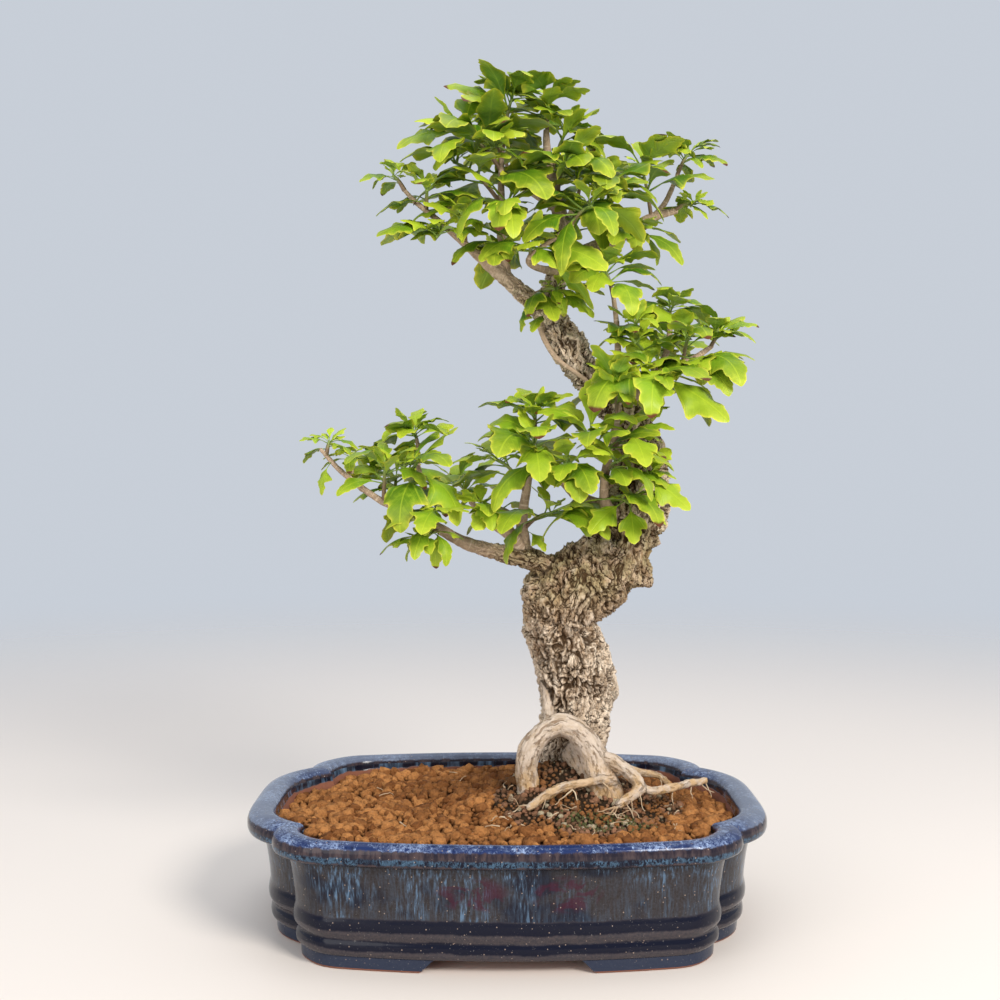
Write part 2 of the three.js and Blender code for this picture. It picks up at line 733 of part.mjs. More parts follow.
function stemSolid(shoot) {
  const rings = [];
  const steps = 2;
  const across = new THREE.Vector3(0, 1, 0);
  for (let i = 0; i <= steps; i++) {
    const part = i / steps;
    const next = stemPoint(shoot, min(part + 0.05, 1));
    const direction = next.sub(stemPoint(shoot, min(part, 0.95))).normalize();
    across.addScaledVector(direction, -across.dot(direction)).normalize();
    const beside = new THREE.Vector3().crossVectors(direction, across);
    const centre = stemPoint(shoot, part);
    const reach = STEM_RADIUS * mix(1.15, 0.75, part);
    const ring = [];
    for (let k = 0; k < STEM_SIDES; k++) {
      const angle = (2 * PI * k) / STEM_SIDES;
      ring.push(
        centre
          .clone()
          .addScaledVector(across, reach * cos(angle))
          .addScaledVector(beside, reach * sin(angle)),
      );
    }
    rings.push(ring);
  }
  return loft(rings);
}

function planShoots() {
  const placed = [];
  return SHOOT_NAMES.map((name, seed) => {
    const [limb, place, tip, count, blade] = SHOOTS[name];
    const foot = placeOn(limb, place);
    const end = new THREE.Vector3(...tip);
    const direction = end.clone().sub(foot).normalize();
    const shoot = { name, seed, foot, tip: end, length: foot.distanceTo(end), direction, count, blade, leaves: [] };
    for (let i = 0; i < count; i++) {
      for (let attempt = 0; attempt < TRIES; attempt++) {
        const pose = leafPose(shoot, i, attempt);
        const feelers = leafFeelers(pose);
        if (!tooClose(feelers, pose.length, placed)) {
          placed.push(...feelers);
          if (i % YOUNG_EVERY !== YOUNG_TURN) shoot.leaves.push(pose);
          break;
        }
      }
    }
    return shoot;
  });
}

// Soil
// The ground falls away from the mound that the trunk stands on.
const GROUND_LEVEL = 58.5;
const MOUND_HEIGHT = 23;
const MOUND_X = 31;
const MOUND_Y = -3;
const MOUND_REACH = 26;
const FRONT_RISE = 2.5;
const GRAIN_RELIEF = 2.2;
const OLD_SOIL_X = 43;
const OLD_SOIL_Y = -18;
const OLD_SOIL_RX = 50;
const OLD_SOIL_RY = 62;
const OLD_SOIL_BOTTOM = 30;
const OLD_SOIL_SIDES = 18;

function groundHeight(x, y) {
  const spread = (x - MOUND_X) ** 2 + (y - MOUND_Y) ** 2;
  const mound = MOUND_HEIGHT * exp(-spread / (2 * MOUND_REACH * MOUND_REACH));
  return GROUND_LEVEL + mound + FRONT_RISE * min(max(-y / 90, 0), 1);
}

// A block whose top is the ground, rough with grains of the given size.
function groundBlock(grain, seed) {
  const columns = 2 * Math.ceil(POT_LENGTH / 2 / grain);
  const rows = 2 * Math.ceil(POT_WIDTH / 2 / (grain * 0.87));
  const positions = [];
  const triangles = [];
  const count = (columns + 1) * (rows + 1);
  [true, false].forEach((isTop) => {
    for (let r = 0; r <= rows; r++) {
      for (let c = 0; c <= columns; c++) {
        const x = (c - columns / 2 + (r % 2) * 0.5 - 0.25) * grain;
        const y = (r - rows / 2) * grain * 0.87;
        const bump = GRAIN_RELIEF * (2 * draw(c, r, seed) - 1);
        positions.push(x, y, isTop ? groundHeight(x, y) + bump : 0);
      }
    }
  });
  const at = (c, r) => r * (columns + 1) + c;
  for (let r = 0; r < rows; r++) {
    for (let c = 0; c < columns; c++) {
      const [a, b, d, e] = [at(c, r), at(c + 1, r), at(c, r + 1), at(c + 1, r + 1)];
      const pair = r % 2 ? [a, b, d, b, e, d] : [a, b, e, a, e, d];
      triangles.push(...pair);
    }
  }
  const top = triangles.length;
  for (let i = 0; i < top; i += 3) {
    triangles.push(triangles[i] + count, triangles[i + 2] + count, triangles[i + 1] + count);
  }
  const rim = [];
  for (let c = 0; c < columns; c++) rim.push(at(c, 0));
  for (let r = 0; r < rows; r++) rim.push(at(columns, r));
  for (let c = columns; c > 0; c--) rim.push(at(c, rows));
  for (let r = rows; r > 0; r--) rim.push(at(0, r));
  rim.forEach((a, i) => {
    const b = rim[(i + 1) % rim.length];
    triangles.push(a, a + count, b, b, a + count, b + count);
  });
  return toSolid(positions, triangles);
}

function cavityPlug() {
  const rings = CAVITY_PROFILE.map(([spread, z]) => potRing(spread - CAVITY_GAP_SPREAD, z));
  const [low] = CAVITY_PROFILE.slice(-1);
  rings[rings.length - 1] = potRing(low[0] - CAVITY_GAP_SPREAD, FLOOR_TOP + SEAT_GAP);
  rings.unshift(potRing(CAVITY_PROFILE[0][0] - CAVITY_GAP_SPREAD, POT_HEIGHT + 20));
  return loft(rings);
}

// The outline of the old soil is an uneven oval.
function oldSoilPlug(grow, bottom) {
  const ring = (z) => {
    const points = [];
    for (let k = 0; k < OLD_SOIL_SIDES; k++) {
      const angle = (2 * PI * k) / OLD_SOIL_SIDES;
      const reach = 1 + 0.07 * (2 * draw(k, 5, 9) - 1);
      const x = OLD_SOIL_X + (OLD_SOIL_RX * reach + grow) * cos(angle);
      const y = OLD_SOIL_Y + (OLD_SOIL_RY * reach + grow) * sin(angle);
      points.push(new THREE.Vector3(x, y, z));
    }
    return points;
  };
  return loft([ring(bottom), ring(POT_HEIGHT + 30)]);
}

function screenPocket(x) {
  const side = SCREEN_SIDE + 2 * SEAT_GAP;
  const top = SCREEN_Z + SCREEN_THICK + SEAT_GAP;
  return box(side, side, top, x, 0, top / 2);
}

// Assembly
const wood = makeWood(0);
const woodSeat = makeWood(SEAT_GAP);

addMesh("pot", makePot(), GLAZE);
addMesh("drain_screen_left", makeScreen(-DRAIN_X), PLASTIC_MESH);
addMesh("drain_screen_right", makeScreen(DRAIN_X), PLASTIC_MESH);

const soil = groundBlock(GRAIN, 1)
  .intersect(cavityPlug())
  .subtract(oldSoilPlug(SEAT_GAP, OLD_SOIL_BOTTOM - SEAT_GAP))
  .subtract(screenPocket(-DRAIN_X))
  .subtract(screenPocket(DRAIN_X))
  .subtract(woodSeat);
addMesh("soil", mainBody(soil), CLAY_GRAINS);

const oldSoil = groundBlock(OLD_GRAIN, 2).intersect(oldSoilPlug(0, OLD_SOIL_BOTTOM)).subtract(woodSeat);
addMesh("root_ball", mainBody(oldSoil), OLD_SOIL);
addMesh("wood", wood, BARK);

const shoots = planShoots();
const stems = shoots.map(stemSolid);
const sprays = [];
shoots.forEach((shoot, index) => {
  const others = [...sprays, ...stems.filter((_, k) => k > index)];
  const blades = [];
  const leaves = shoot.leaves.filter((pose) => {
    const guard = leafSolid(pose, SEAT_GAP);
    if (others.some((other) => guard.intersect(other).numTri() > 0)) return false;
    const blade = leafSolid(pose, 0);
    const crossing = blades.some((other) => other.intersect(blade).volume() > CROSSING_MM3);
    if (!crossing) blades.push(blade);
    return !crossing;
  });
  const whole = join([stems[index], ...blades]);
  const spray = mainBody(whole.subtract(woodSeat));
  sprays.push(spray);
  addMesh("spray_" + shoot.name, spray, LEAF);
});

export default root;
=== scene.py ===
"""The looks of a rose of sharon bonsai in an oblong glazed pot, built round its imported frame.

Tables are in millimetres, in the frame's own axes, and meshes are in metres.
"""

import json
import math

import bmesh
import bpy
import numpy as np
from bpy.props import FloatProperty, FloatVectorProperty, PointerProperty
from bpy.types import Operator, Panel, PropertyGroup
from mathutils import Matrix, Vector, noise

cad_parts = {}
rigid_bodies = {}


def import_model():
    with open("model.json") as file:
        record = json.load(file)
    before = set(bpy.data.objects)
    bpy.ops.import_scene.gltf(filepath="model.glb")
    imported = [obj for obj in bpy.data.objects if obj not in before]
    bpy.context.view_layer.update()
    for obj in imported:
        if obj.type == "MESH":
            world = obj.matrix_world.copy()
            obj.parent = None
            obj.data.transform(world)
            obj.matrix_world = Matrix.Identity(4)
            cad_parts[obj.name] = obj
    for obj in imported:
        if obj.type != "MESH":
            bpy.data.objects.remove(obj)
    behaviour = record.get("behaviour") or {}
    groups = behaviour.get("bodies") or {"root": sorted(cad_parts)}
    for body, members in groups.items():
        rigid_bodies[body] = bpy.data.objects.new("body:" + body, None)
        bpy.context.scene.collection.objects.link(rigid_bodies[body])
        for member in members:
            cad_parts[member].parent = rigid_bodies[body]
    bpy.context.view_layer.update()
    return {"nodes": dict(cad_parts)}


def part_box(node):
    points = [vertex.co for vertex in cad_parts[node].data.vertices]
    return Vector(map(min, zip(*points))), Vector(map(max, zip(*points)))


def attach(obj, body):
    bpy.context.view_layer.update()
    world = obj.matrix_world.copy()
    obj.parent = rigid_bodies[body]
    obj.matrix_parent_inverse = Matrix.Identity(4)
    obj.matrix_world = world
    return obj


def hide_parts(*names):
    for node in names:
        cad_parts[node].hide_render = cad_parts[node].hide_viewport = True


bl_info = {
    "name": "Rose of Sharon Bonsai",
    "version": (1, 0, 0),
    "blender": (4, 5, 0),
    "location": "3D View > Sidebar > Bonsai",
    "description": "Makes the finer pieces and the materials of a flowering bonsai in a glazed pot",
    "category": "Add Mesh",
}

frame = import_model()
BODY = "root"
MM = 0.001
TO_MM = 1000.0
POT_LOW, POT_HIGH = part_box("pot")

# Wood. Each limb is a kind and a route of x, y, z and radius, and its first point lies inside its carrier.
LIMBS = {
    "trunk": ("trunk", (
        (35, 13, 50, 20), (35.5, 14, 80, 18.6), (36.5, 13, 97, 17.8), (37, 11, 117, 19.4),
        (34, 8, 137, 20.2), (29, 4, 153, 19.6), (29.5, 1, 165, 21.6), (37, 1, 174, 22.5), (47, 2, 182, 21),
        (57, 4, 190, 18.5), (66, 7, 204, 16.4), (70, 10, 221, 17), (73, 12, 243, 13.9), (72, 13, 254, 12.4),
        (67, 14, 265, 11.5), (58, 14, 274, 10.8), (49, 13, 283, 9.9), (35, 11, 302, 9.3), (26, 8, 319, 8.2),
        (25, 8, 331, 6.8), (29, 6, 350, 5.4), (30, 5, 367, 4.6), (26, 4, 386, 3.5), (22, 2, 405, 2.5),
        (21, 1, 421, 1.6),
    )),
    "back_lobe": ("trunk", (
        (42, 16, 150, 6), (46, 20, 138, 9.5), (49, 22, 124, 11.2), (49.5, 23, 110, 11.2), (47, 22, 96, 9.4),
        (43, 20, 80, 8),
    )),
    "knob": ("trunk", ((58, 4, 197, 13), (67, 3, 190, 11.2), (70, 2, 183, 9.4), (70.5, 1, 175.5, 8.4))),
    "burl": ("trunk", ((56, -2, 196, 10), (57, -10, 190, 8), (57.5, -15, 187, 5.6))),
    "root_strip": ("root", (
        (20.8, 2, 141, 3.2), (21.3, 0, 122, 2.8), (22.3, -4, 108, 3), (22.8, -14, 101, 3.6),
    )),
    "root_loop": ("root", (
        (12, -20, 56, 6.6), (11, -21, 70, 6.4), (10, -22, 82, 6.3), (13, -22, 93, 6.2), (20, -21, 101, 6),
        (28, -20, 104, 6), (36, -20, 101, 6.3), (42, -21, 95, 6.8), (46, -22, 88, 7.5), (52, -24, 68, 9.6),
        (54, -24, 56, 10.5),
    )),
    "root_shoulder": ("root", ((40, 2, 84, 12), (47, -12, 76, 10), (50, -22, 66, 9))),
    "root_front": ("root", (
        (47, -22, 88, 5), (55, -26, 86, 4.2), (62, -30, 82, 3.6), (67, -34, 78, 3.5), (68, -38, 74, 3.4),
        (56, -46, 67, 2.4),
    )),
    "root_right": ("root", ((66, -36, 76, 2.8), (75, -36, 73, 2.4), (95, -21, 73, 2), (107, -10, 72, 1.6))),
    "root_left": ("root", (
        (56, -28, 76, 2.6), (48, -34, 78, 2.3), (30, -40, 76, 2.7), (20, -43, 72, 2.6), (10, -46, 66, 2.2),
    )),
    "root_back": ("root", (
        (54, -16, 78, 3.2), (64, -10, 78, 2.6), (74, -4, 75, 2.2), (83, 0, 72, 2), (90, 2, 64, 1.8),
    )),
    "root_spread": ("trunk", ((36, 22, 84, 10), (34, 34, 74, 7), (30, 46, 64, 5), (26, 56, 54, 4))),
    "low_left": ("branch", (
        (34, 1, 181, 9), (12, -6, 190, 6.1), (1, -9, 193, 5.1), (-22, -13, 200, 3.5), (-35, -14, 207, 3),
        (-54, -16, 218, 2.3), (-66, -17, 222, 2), (-86, -20, 237, 1.6), (-98, -22, 250, 1.2),
    )),
    "low_up": ("branch", (
        (9, -6, 190, 4.6), (9, -6, 201, 3.7), (8, -7, 211, 3.2), (11, -9, 231, 2.3), (14, -11, 251, 1.6),
        (15, -12, 262, 1.3),
    )),
    "low_stub": ("branch", ((8, -7, 195, 3.2), (3, -13, 204, 2.9), (-2, -17, 211, 2.6))),
    "low_left_up": ("branch", (
        (-38, -15, 208, 2.3), (-41, -14, 218, 2), (-44, -14, 229, 1.7), (-47, -14, 241, 1.4),
        (-47, -14, 253, 1.1),
    )),
    "low_left_twig": ("branch", ((-76, -18, 228, 1.6), (-81, -14, 234, 1.3), (-83, -11, 242, 1.1))),
    "low_back": ("branch", (
        (28, 4, 178, 6), (14, 19, 191, 4), (2, 33, 201, 3.2), (-10, 45, 209, 2.5), (-21, 54, 220, 1.8),
    )),
    "bough": ("branch", (
        (58, 7, 214, 6), (47, -2, 219, 4.4), (39, -9, 224, 3.6), (32, -16, 230, 2.8), (26, -22, 236, 2.1),
    )),
    "bough_stub": ("branch", ((56, 5, 208, 5.4), (46, -5, 212, 4.3), (39, -12, 213, 3.7))),
    "front_twig": ("branch", (
        (58, -2, 213, 4.2), (52, -14, 221, 3.2), (51, -22, 231, 2.8), (52, -25, 241, 2.5),
        (56, -29, 257, 1.9), (58, -32, 274, 1.4),
    )),
    "trunk_bud": ("branch", ((74, 9, 197, 3), (84, 11, 199, 1.9))),
    "mid_knob": ("branch", ((54, 12, 276, 9), (56, 7, 285, 7), (59, 3, 292, 5.4), (59, 2, 297, 4.6))),
    "mid_up": ("branch", (
        (57, 6, 284, 3), (60, -2, 292, 2.2), (59, -6, 305, 1.9), (58, -8, 319, 1.7), (56, -10, 333, 1.4),
    )),
    "mid_right": ("branch", (
        (60, 12, 270, 5.5), (68, 5, 278, 4), (76, -1, 285, 3.2), (91, -5, 294, 2.3), (100, -6, 298, 1.9),
        (110, -6, 305, 1.4),
    )),
    "mid_right_up": ("branch", (
        (79, -3, 287, 2.6), (84, -2, 297, 2.1), (87, 0, 308, 1.8), (88, 2, 320, 1.4),
    )),
    "mid_back": ("branch", ((61, 16, 268, 5), (71, 32, 278, 3.5), (81, 46, 288, 2.8), (89, 57, 299, 2.1))),
    "bare_twig": ("branch", (
        (19, 6, 322, 2), (17.5, 1, 317, 1.8), (21.5, 0, 306, 1.6), (28, -1.5, 297, 1.5),
        (42, -1.5, 287, 1.4), (46.5, 2, 281, 1.3),
    )),
    "crown_left": ("branch", (
        (25, 8, 318, 7.4), (16, 0, 328, 5.5), (7, -6, 334, 4.8), (0, -11, 339, 4.4), (-7, -14, 345, 3.9),
        (-16, -17, 352, 3.2),
    )),
    "crown_left_arm": ("branch", (
        (-10, -15, 347, 3), (-19, -18, 354, 2.4), (-33, -22, 366, 1.9), (-47, -26, 377, 1.5),
        (-54, -29, 384, 1.2),
    )),
    "crown_left_up": ("branch", (
        (0, -11, 338, 3.4), (-3, -14, 360, 2.5), (-3, -14, 373, 2.2), (-3, -12, 399, 1.7),
        (-2, -11, 412, 1.4),
    )),
    "crown_front_arm": ("branch", (
        (28, 6, 346, 3), (20, -6, 345, 2.2), (12, -15, 347, 1.9), (13, -22, 351, 1.7), (24, -28, 358, 1.5),
        (34, -32, 365, 1.2),
    )),
    "crown_right": ("branch", (
        (28, 7, 347, 5.4), (37, 12, 354, 4.5), (47, 16, 359, 4.1), (67, 20, 369, 3.4), (77, 20, 376, 2.8),
        (94, 20, 381, 1.9),
    )),
    "crown_right_up": ("branch", (
        (81, 20, 377, 2.4), (87, 22, 385, 1.8), (91, 23, 393, 1.6), (95, 24, 403, 1.3),
    )),
    "crown_back": ("branch", (
        (30, 6, 360, 4.2), (33, 24, 371, 3.3), (37, 38, 382, 2.7), (41, 50, 394, 2.1),
    )),
    "crown_back_left": ("branch", (
        (27, 5, 380, 3.5), (18, 21, 389, 2.8), (9, 34, 397, 2.3), (1, 44, 407, 1.7),
    )),
}

# Leafy shoots: the limb and the place on it, the tip, the number of leaves, the length of a full blade, the
# leaves' size against the usual one and what is added to their pitch.
SHOOTS = {
    "crown_top": ("trunk", 0.985, (22, -2, 437), 8, 32, 1, -0.1),
    "crown_left_top": ("crown_left_up", 0.96, (3, -10, 436), 8, 32, 1, -0.1),
    "crown_left_out": ("crown_left_up", 0.72, (-25, -22, 415), 8, 32, 1, 0),
    "crown_left_low": ("crown_left_up", 0.55, (-28, -25, 398), 8, 32, 1.15, -0.2),
    "crown_front_left": ("crown_left_up", 0.84, (-8, -36, 403), 7, 30, 1.2, -0.15),
    "crown_inner": ("crown_left_up", 0.5, (1, -40, 373), 7, 31, 1.2, -0.1),
    "crown_under": ("crown_left_up", 0.22, (-4, -31, 351), 5, 30, 0.85, -0.1),
    "crown_right_top": ("trunk", 0.94, (32, -6, 419), 8, 30, 0.95, -0.1),
    "crown_front": ("trunk", 0.91, (30, -28, 396), 8, 31, 1.15, -0.15),
    "crown_front_right": ("trunk", 0.86, (54, -18, 387), 8, 31, 1.1, -0.15),
    "arm_end": ("crown_front_arm", 0.95, (43, -40, 373), 6, 30, 1.15, -0.4),
    "big_front": ("crown_front_arm", 0.45, (12, -36, 352), 5, 32, 1.1, -0.45),
    "left_tip": ("crown_left_arm", 0.97, (-59, -31, 390), 6, 20, 0.75, 0),
    "left_mid": ("crown_left_arm", 0.66, (-41, -34, 382), 6, 26, 0.85, 0),
    "left_front": ("crown_left_arm", 0.3, (-22, -35, 369), 6, 26, 1, -0.15),
    "left_hang": ("crown_left_arm", 0.45, (-36, -34, 358), 4, 32, 0.85, 0.15),
    "right_up": ("crown_right", 0.83, (72, 4, 402), 7, 28, 1.15, 0),
    "right_tip": ("crown_right_up", 0.95, (101, 22, 413), 8, 24, 0.8, 0),
    "right_end": ("crown_right", 0.97, (103, 12, 383), 6, 24, 0.75, -0.3),
    "right_low": ("crown_right", 0.62, (67, 0, 363), 5, 30, 0.95, -0.2),
    "right_mid": ("crown_right", 0.45, (52, -8, 379), 7, 28, 1.05, -0.2),
    "back_tip": ("crown_back", 0.96, (45, 60, 408), 9, 31, 1, 0),
    "back_left": ("crown_back_left", 0.96, (-6, 53, 420), 9, 31, 1, 0),
    "fork": ("crown_left", 0.28, (27, -12, 334), 6, 22, 1.15, -0.3),
    "mid_top": ("mid_up", 0.95, (51, -14, 345), 7, 26, 1.1, -0.3),
    "mid_side": ("mid_up", 0.6, (68, -22, 314), 5, 24, 0.7, 0),
    "pad_top": ("mid_right_up", 0.95, (88, 2, 326), 8, 26, 0.95, -0.2),
    "pad_end": ("mid_right", 0.97, (114, -8, 311), 7, 24, 0.95, 0),
    "pad_low": ("mid_right", 0.8, (98, -22, 290), 5, 32, 0.9, 0),
    "pad_front": ("mid_right", 0.45, (67, -22, 305), 7, 31, 0.85, -0.1),
    "pad_mid": ("mid_right", 0.66, (95, -22, 308), 7, 27, 1, 0),
    "pad_hang": ("mid_right", 0.4, (76, -38, 284), 7, 36, 1.08, -0.25),
    "pad_back_tip": ("mid_back", 0.96, (97, 68, 311), 9, 29, 1, 0),
    "low_top": ("low_up", 0.96, (15, -13, 269), 9, 27, 0.9, 0),
    "low_big": ("low_up", 0.7, (14, -30, 252), 5, 35, 1, 0),
    "low_out": ("low_up", 0.55, (-5, -19, 244), 6, 28, 1.1, -0.15),
    "low_under": ("low_up", 0.4, (-14, -21, 219), 5, 26, 1.1, -0.2),
    "low_right": ("low_up", 0.3, (24, -18, 216), 4, 31, 1.15, -0.3),
    "bough_tip": ("bough", 0.95, (33, -36, 243), 7, 31, 1.1, -0.3),
    "front_mid": ("front_twig", 0.6, (42, -37, 256), 6, 30, 1, -0.1),
    "front_top": ("front_twig", 0.9, (55, -38, 283), 7, 30, 0.75, 0.2),
    "front_right": ("front_twig", 0.68, (63, -38, 258), 6, 31, 0.85, -0.1),
    "trunk_cover": ("front_twig", 0.45, (56, -44, 243), 6, 34, 0.9, -0.2),
    "trunk_right": ("front_twig", 0.35, (75, -26, 236), 5, 32, 0.6, -0.1),
    "trunk_front": ("front_twig", 0.25, (64, -24, 221), 5, 28, 1.2, -0.3),
    "low_back_tip": ("low_back", 0.96, (-29, 62, 230), 9, 28, 1, 0),
    "left_end": ("low_left", 0.965, (-93, -20, 254), 6, 20, 0.85, -0.3),
    "left_twig": ("low_left_twig", 0.95, (-83, -7, 247), 6, 20, 1, -0.4),
    "left_front_pad": ("low_left", 0.74, (-63, -31, 241), 7, 28, 1, 0),
    "pad_left_top": ("low_left_up", 0.96, (-49, -14, 259), 8, 26, 0.9, -0.2),
    "pad_left_front": ("low_left_up", 0.5, (-55, -26, 240), 6, 30, 1.12, -0.2),
    "pad_left_back": ("low_left", 0.68, (-60, 4, 234), 7, 26, 1, 0),
    "pad_left_low": ("low_left", 0.57, (-33, -31, 217), 6, 27, 1.05, -0.3),
    "pad_left_under": ("low_left", 0.5, (-44, -24, 201), 5, 24, 0.9, 0),
}
YOUNG_EVERY = 3
YOUNG_TURN = 2
GOLDEN_TURN = math.radians(137.5)
TRIES = 7
CLEAR_SHARE = 0.17
STALK_SHARE = 0.28
TURN_TO_LIGHT = 0.16
PITCH_SPREAD = 0.45
LESS_DROOP = 0.85
TIP_LEAVES = 4
LOW_SHOOTS = 290

# Single leaves that hang from the wood: their shoot, limb, place on it, azimuth, pitch and length.
HANGING_LEAVES = (
    ("left_end", "low_left", 0.93, -2.4, -0.9, 15), ("pad_left_under", "low_left", 0.5, -1.9, -1.0, 17),
    ("fork", "crown_left", 0.2, -2.6, -0.9, 14), ("fork", "crown_left", 0.06, -1.9, -0.1, 20),
    ("low_right", "low_up", 0.3, -0.6, -0.4, 13),
)

# Single leaves on the shoots: place on the stem, azimuth, pitch, droop, roll, length, youth and shape.
SINGLE_LEAVES = {
    "big_front": ((1.0, -0.5, -0.05, 0.7, 0.5, 36, 0.3, 0),),
    "pad_hang": ((0.6, -0.45, -0.4, 0.4, 0.5, 38, 0.55, 1), (0.6, 1.9, 1.0, 0.5, 0.0, 27, 0.75, 0)),
    "front_top": ((0.9, 0.1, 0.5, 0.8, 0.2, 26, 0.8, 0),),
    "front_mid": ((0.95, 1.3, 1.15, 0.3, 0.2, 29, 0.8, 3),),
    "front_right": ((0.95, -1.4, -0.3, 0.5, 0.0, 29, 0.3, 1),),
    "low_big": ((1.0, -1.5, -0.25, 0.8, 0.0, 29, 0.35, 0),),
    "low_right": ((0.5, -0.2, 0.1, 0.4, 0.6, 33, 0.0, 3),),
    "trunk_right": ((0.8, -0.4, -0.5, 0.3, 0.5, 25, 0.6, 0),),
    "trunk_front": ((1.0, -1.5, -0.8, 0.3, 0.2, 20, 0.2, 0), (0.8, -2.6, -0.5, 0.4, -0.6, 22, 0.4, 0)),
    "crown_left_out": ((0.75, -2.8, 0.1, 0.9, -0.3, 33, 0.1, 1),),
    "left_hang": ((0.8, -2.9, 0.3, 1.0, -0.3, 27, 0.0, 1),),
    "fork": ((0.4, -1.3, -0.5, 0.4, 0.0, 24, 0.5, 1), (0.8, -0.3, -0.4, 0.6, 0.3, 22, 0.1, 0)),
    "right_low": ((0.8, -0.4, -0.2, 1.0, 0.4, 28, 0.2, 2),),
    "mid_top": (
        (0.9, 1.7, 1.25, 0.3, 0.0, 30, 0.0, 2), (1.0, -2.6, 0.2, 0.9, -0.4, 20, 0.8, 0),
        (0.7, -2.3, 0.1, 0.9, -0.5, 25, 0.4, 1), (0.85, -1.9, -0.3, 0.5, -0.2, 24, 0.6, 0),
    ),
    "crown_left_top": ((1.0, 1.9, 1.1, 0.5, 0.0, 23, 0.3, 1),),
    "pad_low": ((0.9, -0.9, -0.1, 1.2, 0.4, 24, 0.2, 1),),
}
LEAF_NUMBERS = ("azimuth", "pitch", "droop", "roll", "length", "young", "tone", "dry", "cup", "wave")
CEILING = 449
CEILING_SPREAD = 16
FEELERS = ((0.2, 0), (0.55, 0), (0.95, 0), (0.55, 0.3), (0.55, -0.3))

# Shoots that get no leaves between their own, so the bark behind them shows.
THIN_SHOOTS = ("trunk_right", "trunk_cover", "trunk_front", "front_right", "mid_side", "left_tip", "left_end")

# Half outlines of a blade, from its base to its tip: place along it and half width, as shares of its length.
LEAF_OUTLINES = {
    "leaf_a_lobed": (
        (0, 0.03), (0.08, 0.08), (0.17, 0.17), (0.26, 0.27), (0.34, 0.345), (0.41, 0.38), (0.475, 0.37),
        (0.52, 0.33), (0.535, 0.275), (0.55, 0.225), (0.59, 0.2), (0.65, 0.215), (0.71, 0.22), (0.76, 0.195),
        (0.785, 0.16), (0.83, 0.145), (0.885, 0.14), (0.935, 0.1), (0.975, 0.05), (1, 0),
    ),
    "leaf_b_notched": (
        (0, 0.03), (0.1, 0.075), (0.22, 0.155), (0.33, 0.235), (0.42, 0.295), (0.5, 0.31), (0.555, 0.29),
        (0.59, 0.245), (0.605, 0.2), (0.65, 0.19), (0.715, 0.2), (0.77, 0.18), (0.8, 0.145), (0.85, 0.135),
        (0.905, 0.115), (0.95, 0.075), (0.985, 0.035), (1, 0),
    ),
    "leaf_c_long": (
        (0, 0.03), (0.12, 0.06), (0.26, 0.12), (0.4, 0.185), (0.5, 0.215), (0.575, 0.21), (0.625, 0.175),
        (0.66, 0.145), (0.72, 0.155), (0.78, 0.14), (0.82, 0.11), (0.875, 0.105), (0.93, 0.08), (0.97, 0.045),
        (1, 0),
    ),
    "leaf_d_blunt": (
        (0, 0.03), (0.14, 0.08), (0.3, 0.16), (0.44, 0.235), (0.56, 0.285), (0.65, 0.295), (0.715, 0.265),
        (0.745, 0.215), (0.8, 0.215), (0.86, 0.195), (0.89, 0.15), (0.935, 0.13), (0.975, 0.08), (1, 0),
    ),
}

# Pot. The plan is four kinds of lobe, each an arc between two creases: bulge, fullness and steps.
END_LOBE = (20, 4, 30)
CORNER_LOBE = (8, 2.6, 14)
SIDE_LOBE = (8, 2, 36)
FLOOR_UNDERSIDE = 6.6
DRAIN_RADIUS = 10
DRAIN_X = 55

# Each row is the spread (0 at the foot, 1 at the rim's edge), the height, and 1 where the profile turns.
POT_PROFILE = (
    (-0.9, 6.6, 1), (-0.9, 0.4, 1), (-0.86, 0, 1), (0, 0, 1), (0.04, 0.7, 0), (0.05, 6.2, 1),
    (0.13, 6.9, 0), (0.21, 8.5, 0), (0.23, 10.4, 0), (0.21, 12.6, 0), (0.165, 14.6, 0), (0.2, 15.8, 0),
    (0.28, 17.8, 0), (0.31, 20.2, 0), (0.3, 22.8, 0), (0.265, 25.4, 0), (0.25, 28, 0), (0.29, 35, 0),
    (0.38, 44.5, 0), (0.5, 51.8, 1),
    (0.7, 51.9, 0), (0.93, 53.2, 0), (1, 56, 0), (0.99, 58.9, 0), (0.89, 61.6, 0), (0.62, 63.2, 0),
    (0.36, 63, 0), (0.18, 62.2, 0), (0.06, 59.8, 0), (0, 56, 0), (-0.1, 51.5, 0), (-0.31, 32, 0),
    (-0.52, 13, 1),
)
PROFILE_STEPS = 4
POT_TOP = 63.2
END_TAPER = 15
SIDE_TAPER = 10
END_CREASE = (57.5, 69)
SIDE_CREASE = (80, 87)

# Gaps in the foot ring: the side each is on, and its half width at the top and at the bottom
CUTOUTS = ((0, -1, 34, 43), (0, 1, 34, 43), (-1, 0, 22, 29), (1, 0, 22, 29))
CUTTER_REACH = {"end": (104, 150), "side": (78, 120)}
DRAIN_CUTTER = (2, 20)
GLAZE_STOP = 55
SHARP_TURN = math.radians(48)

# Where the glaze pools above the ribs, in height, and where the two red blooms lie along the wall, in metres.
UPPER_POOL = (19.4, 25.8)
LOWER_POOL = (9.9, 15.0)
BLOOMS = (-0.017, 0.028)

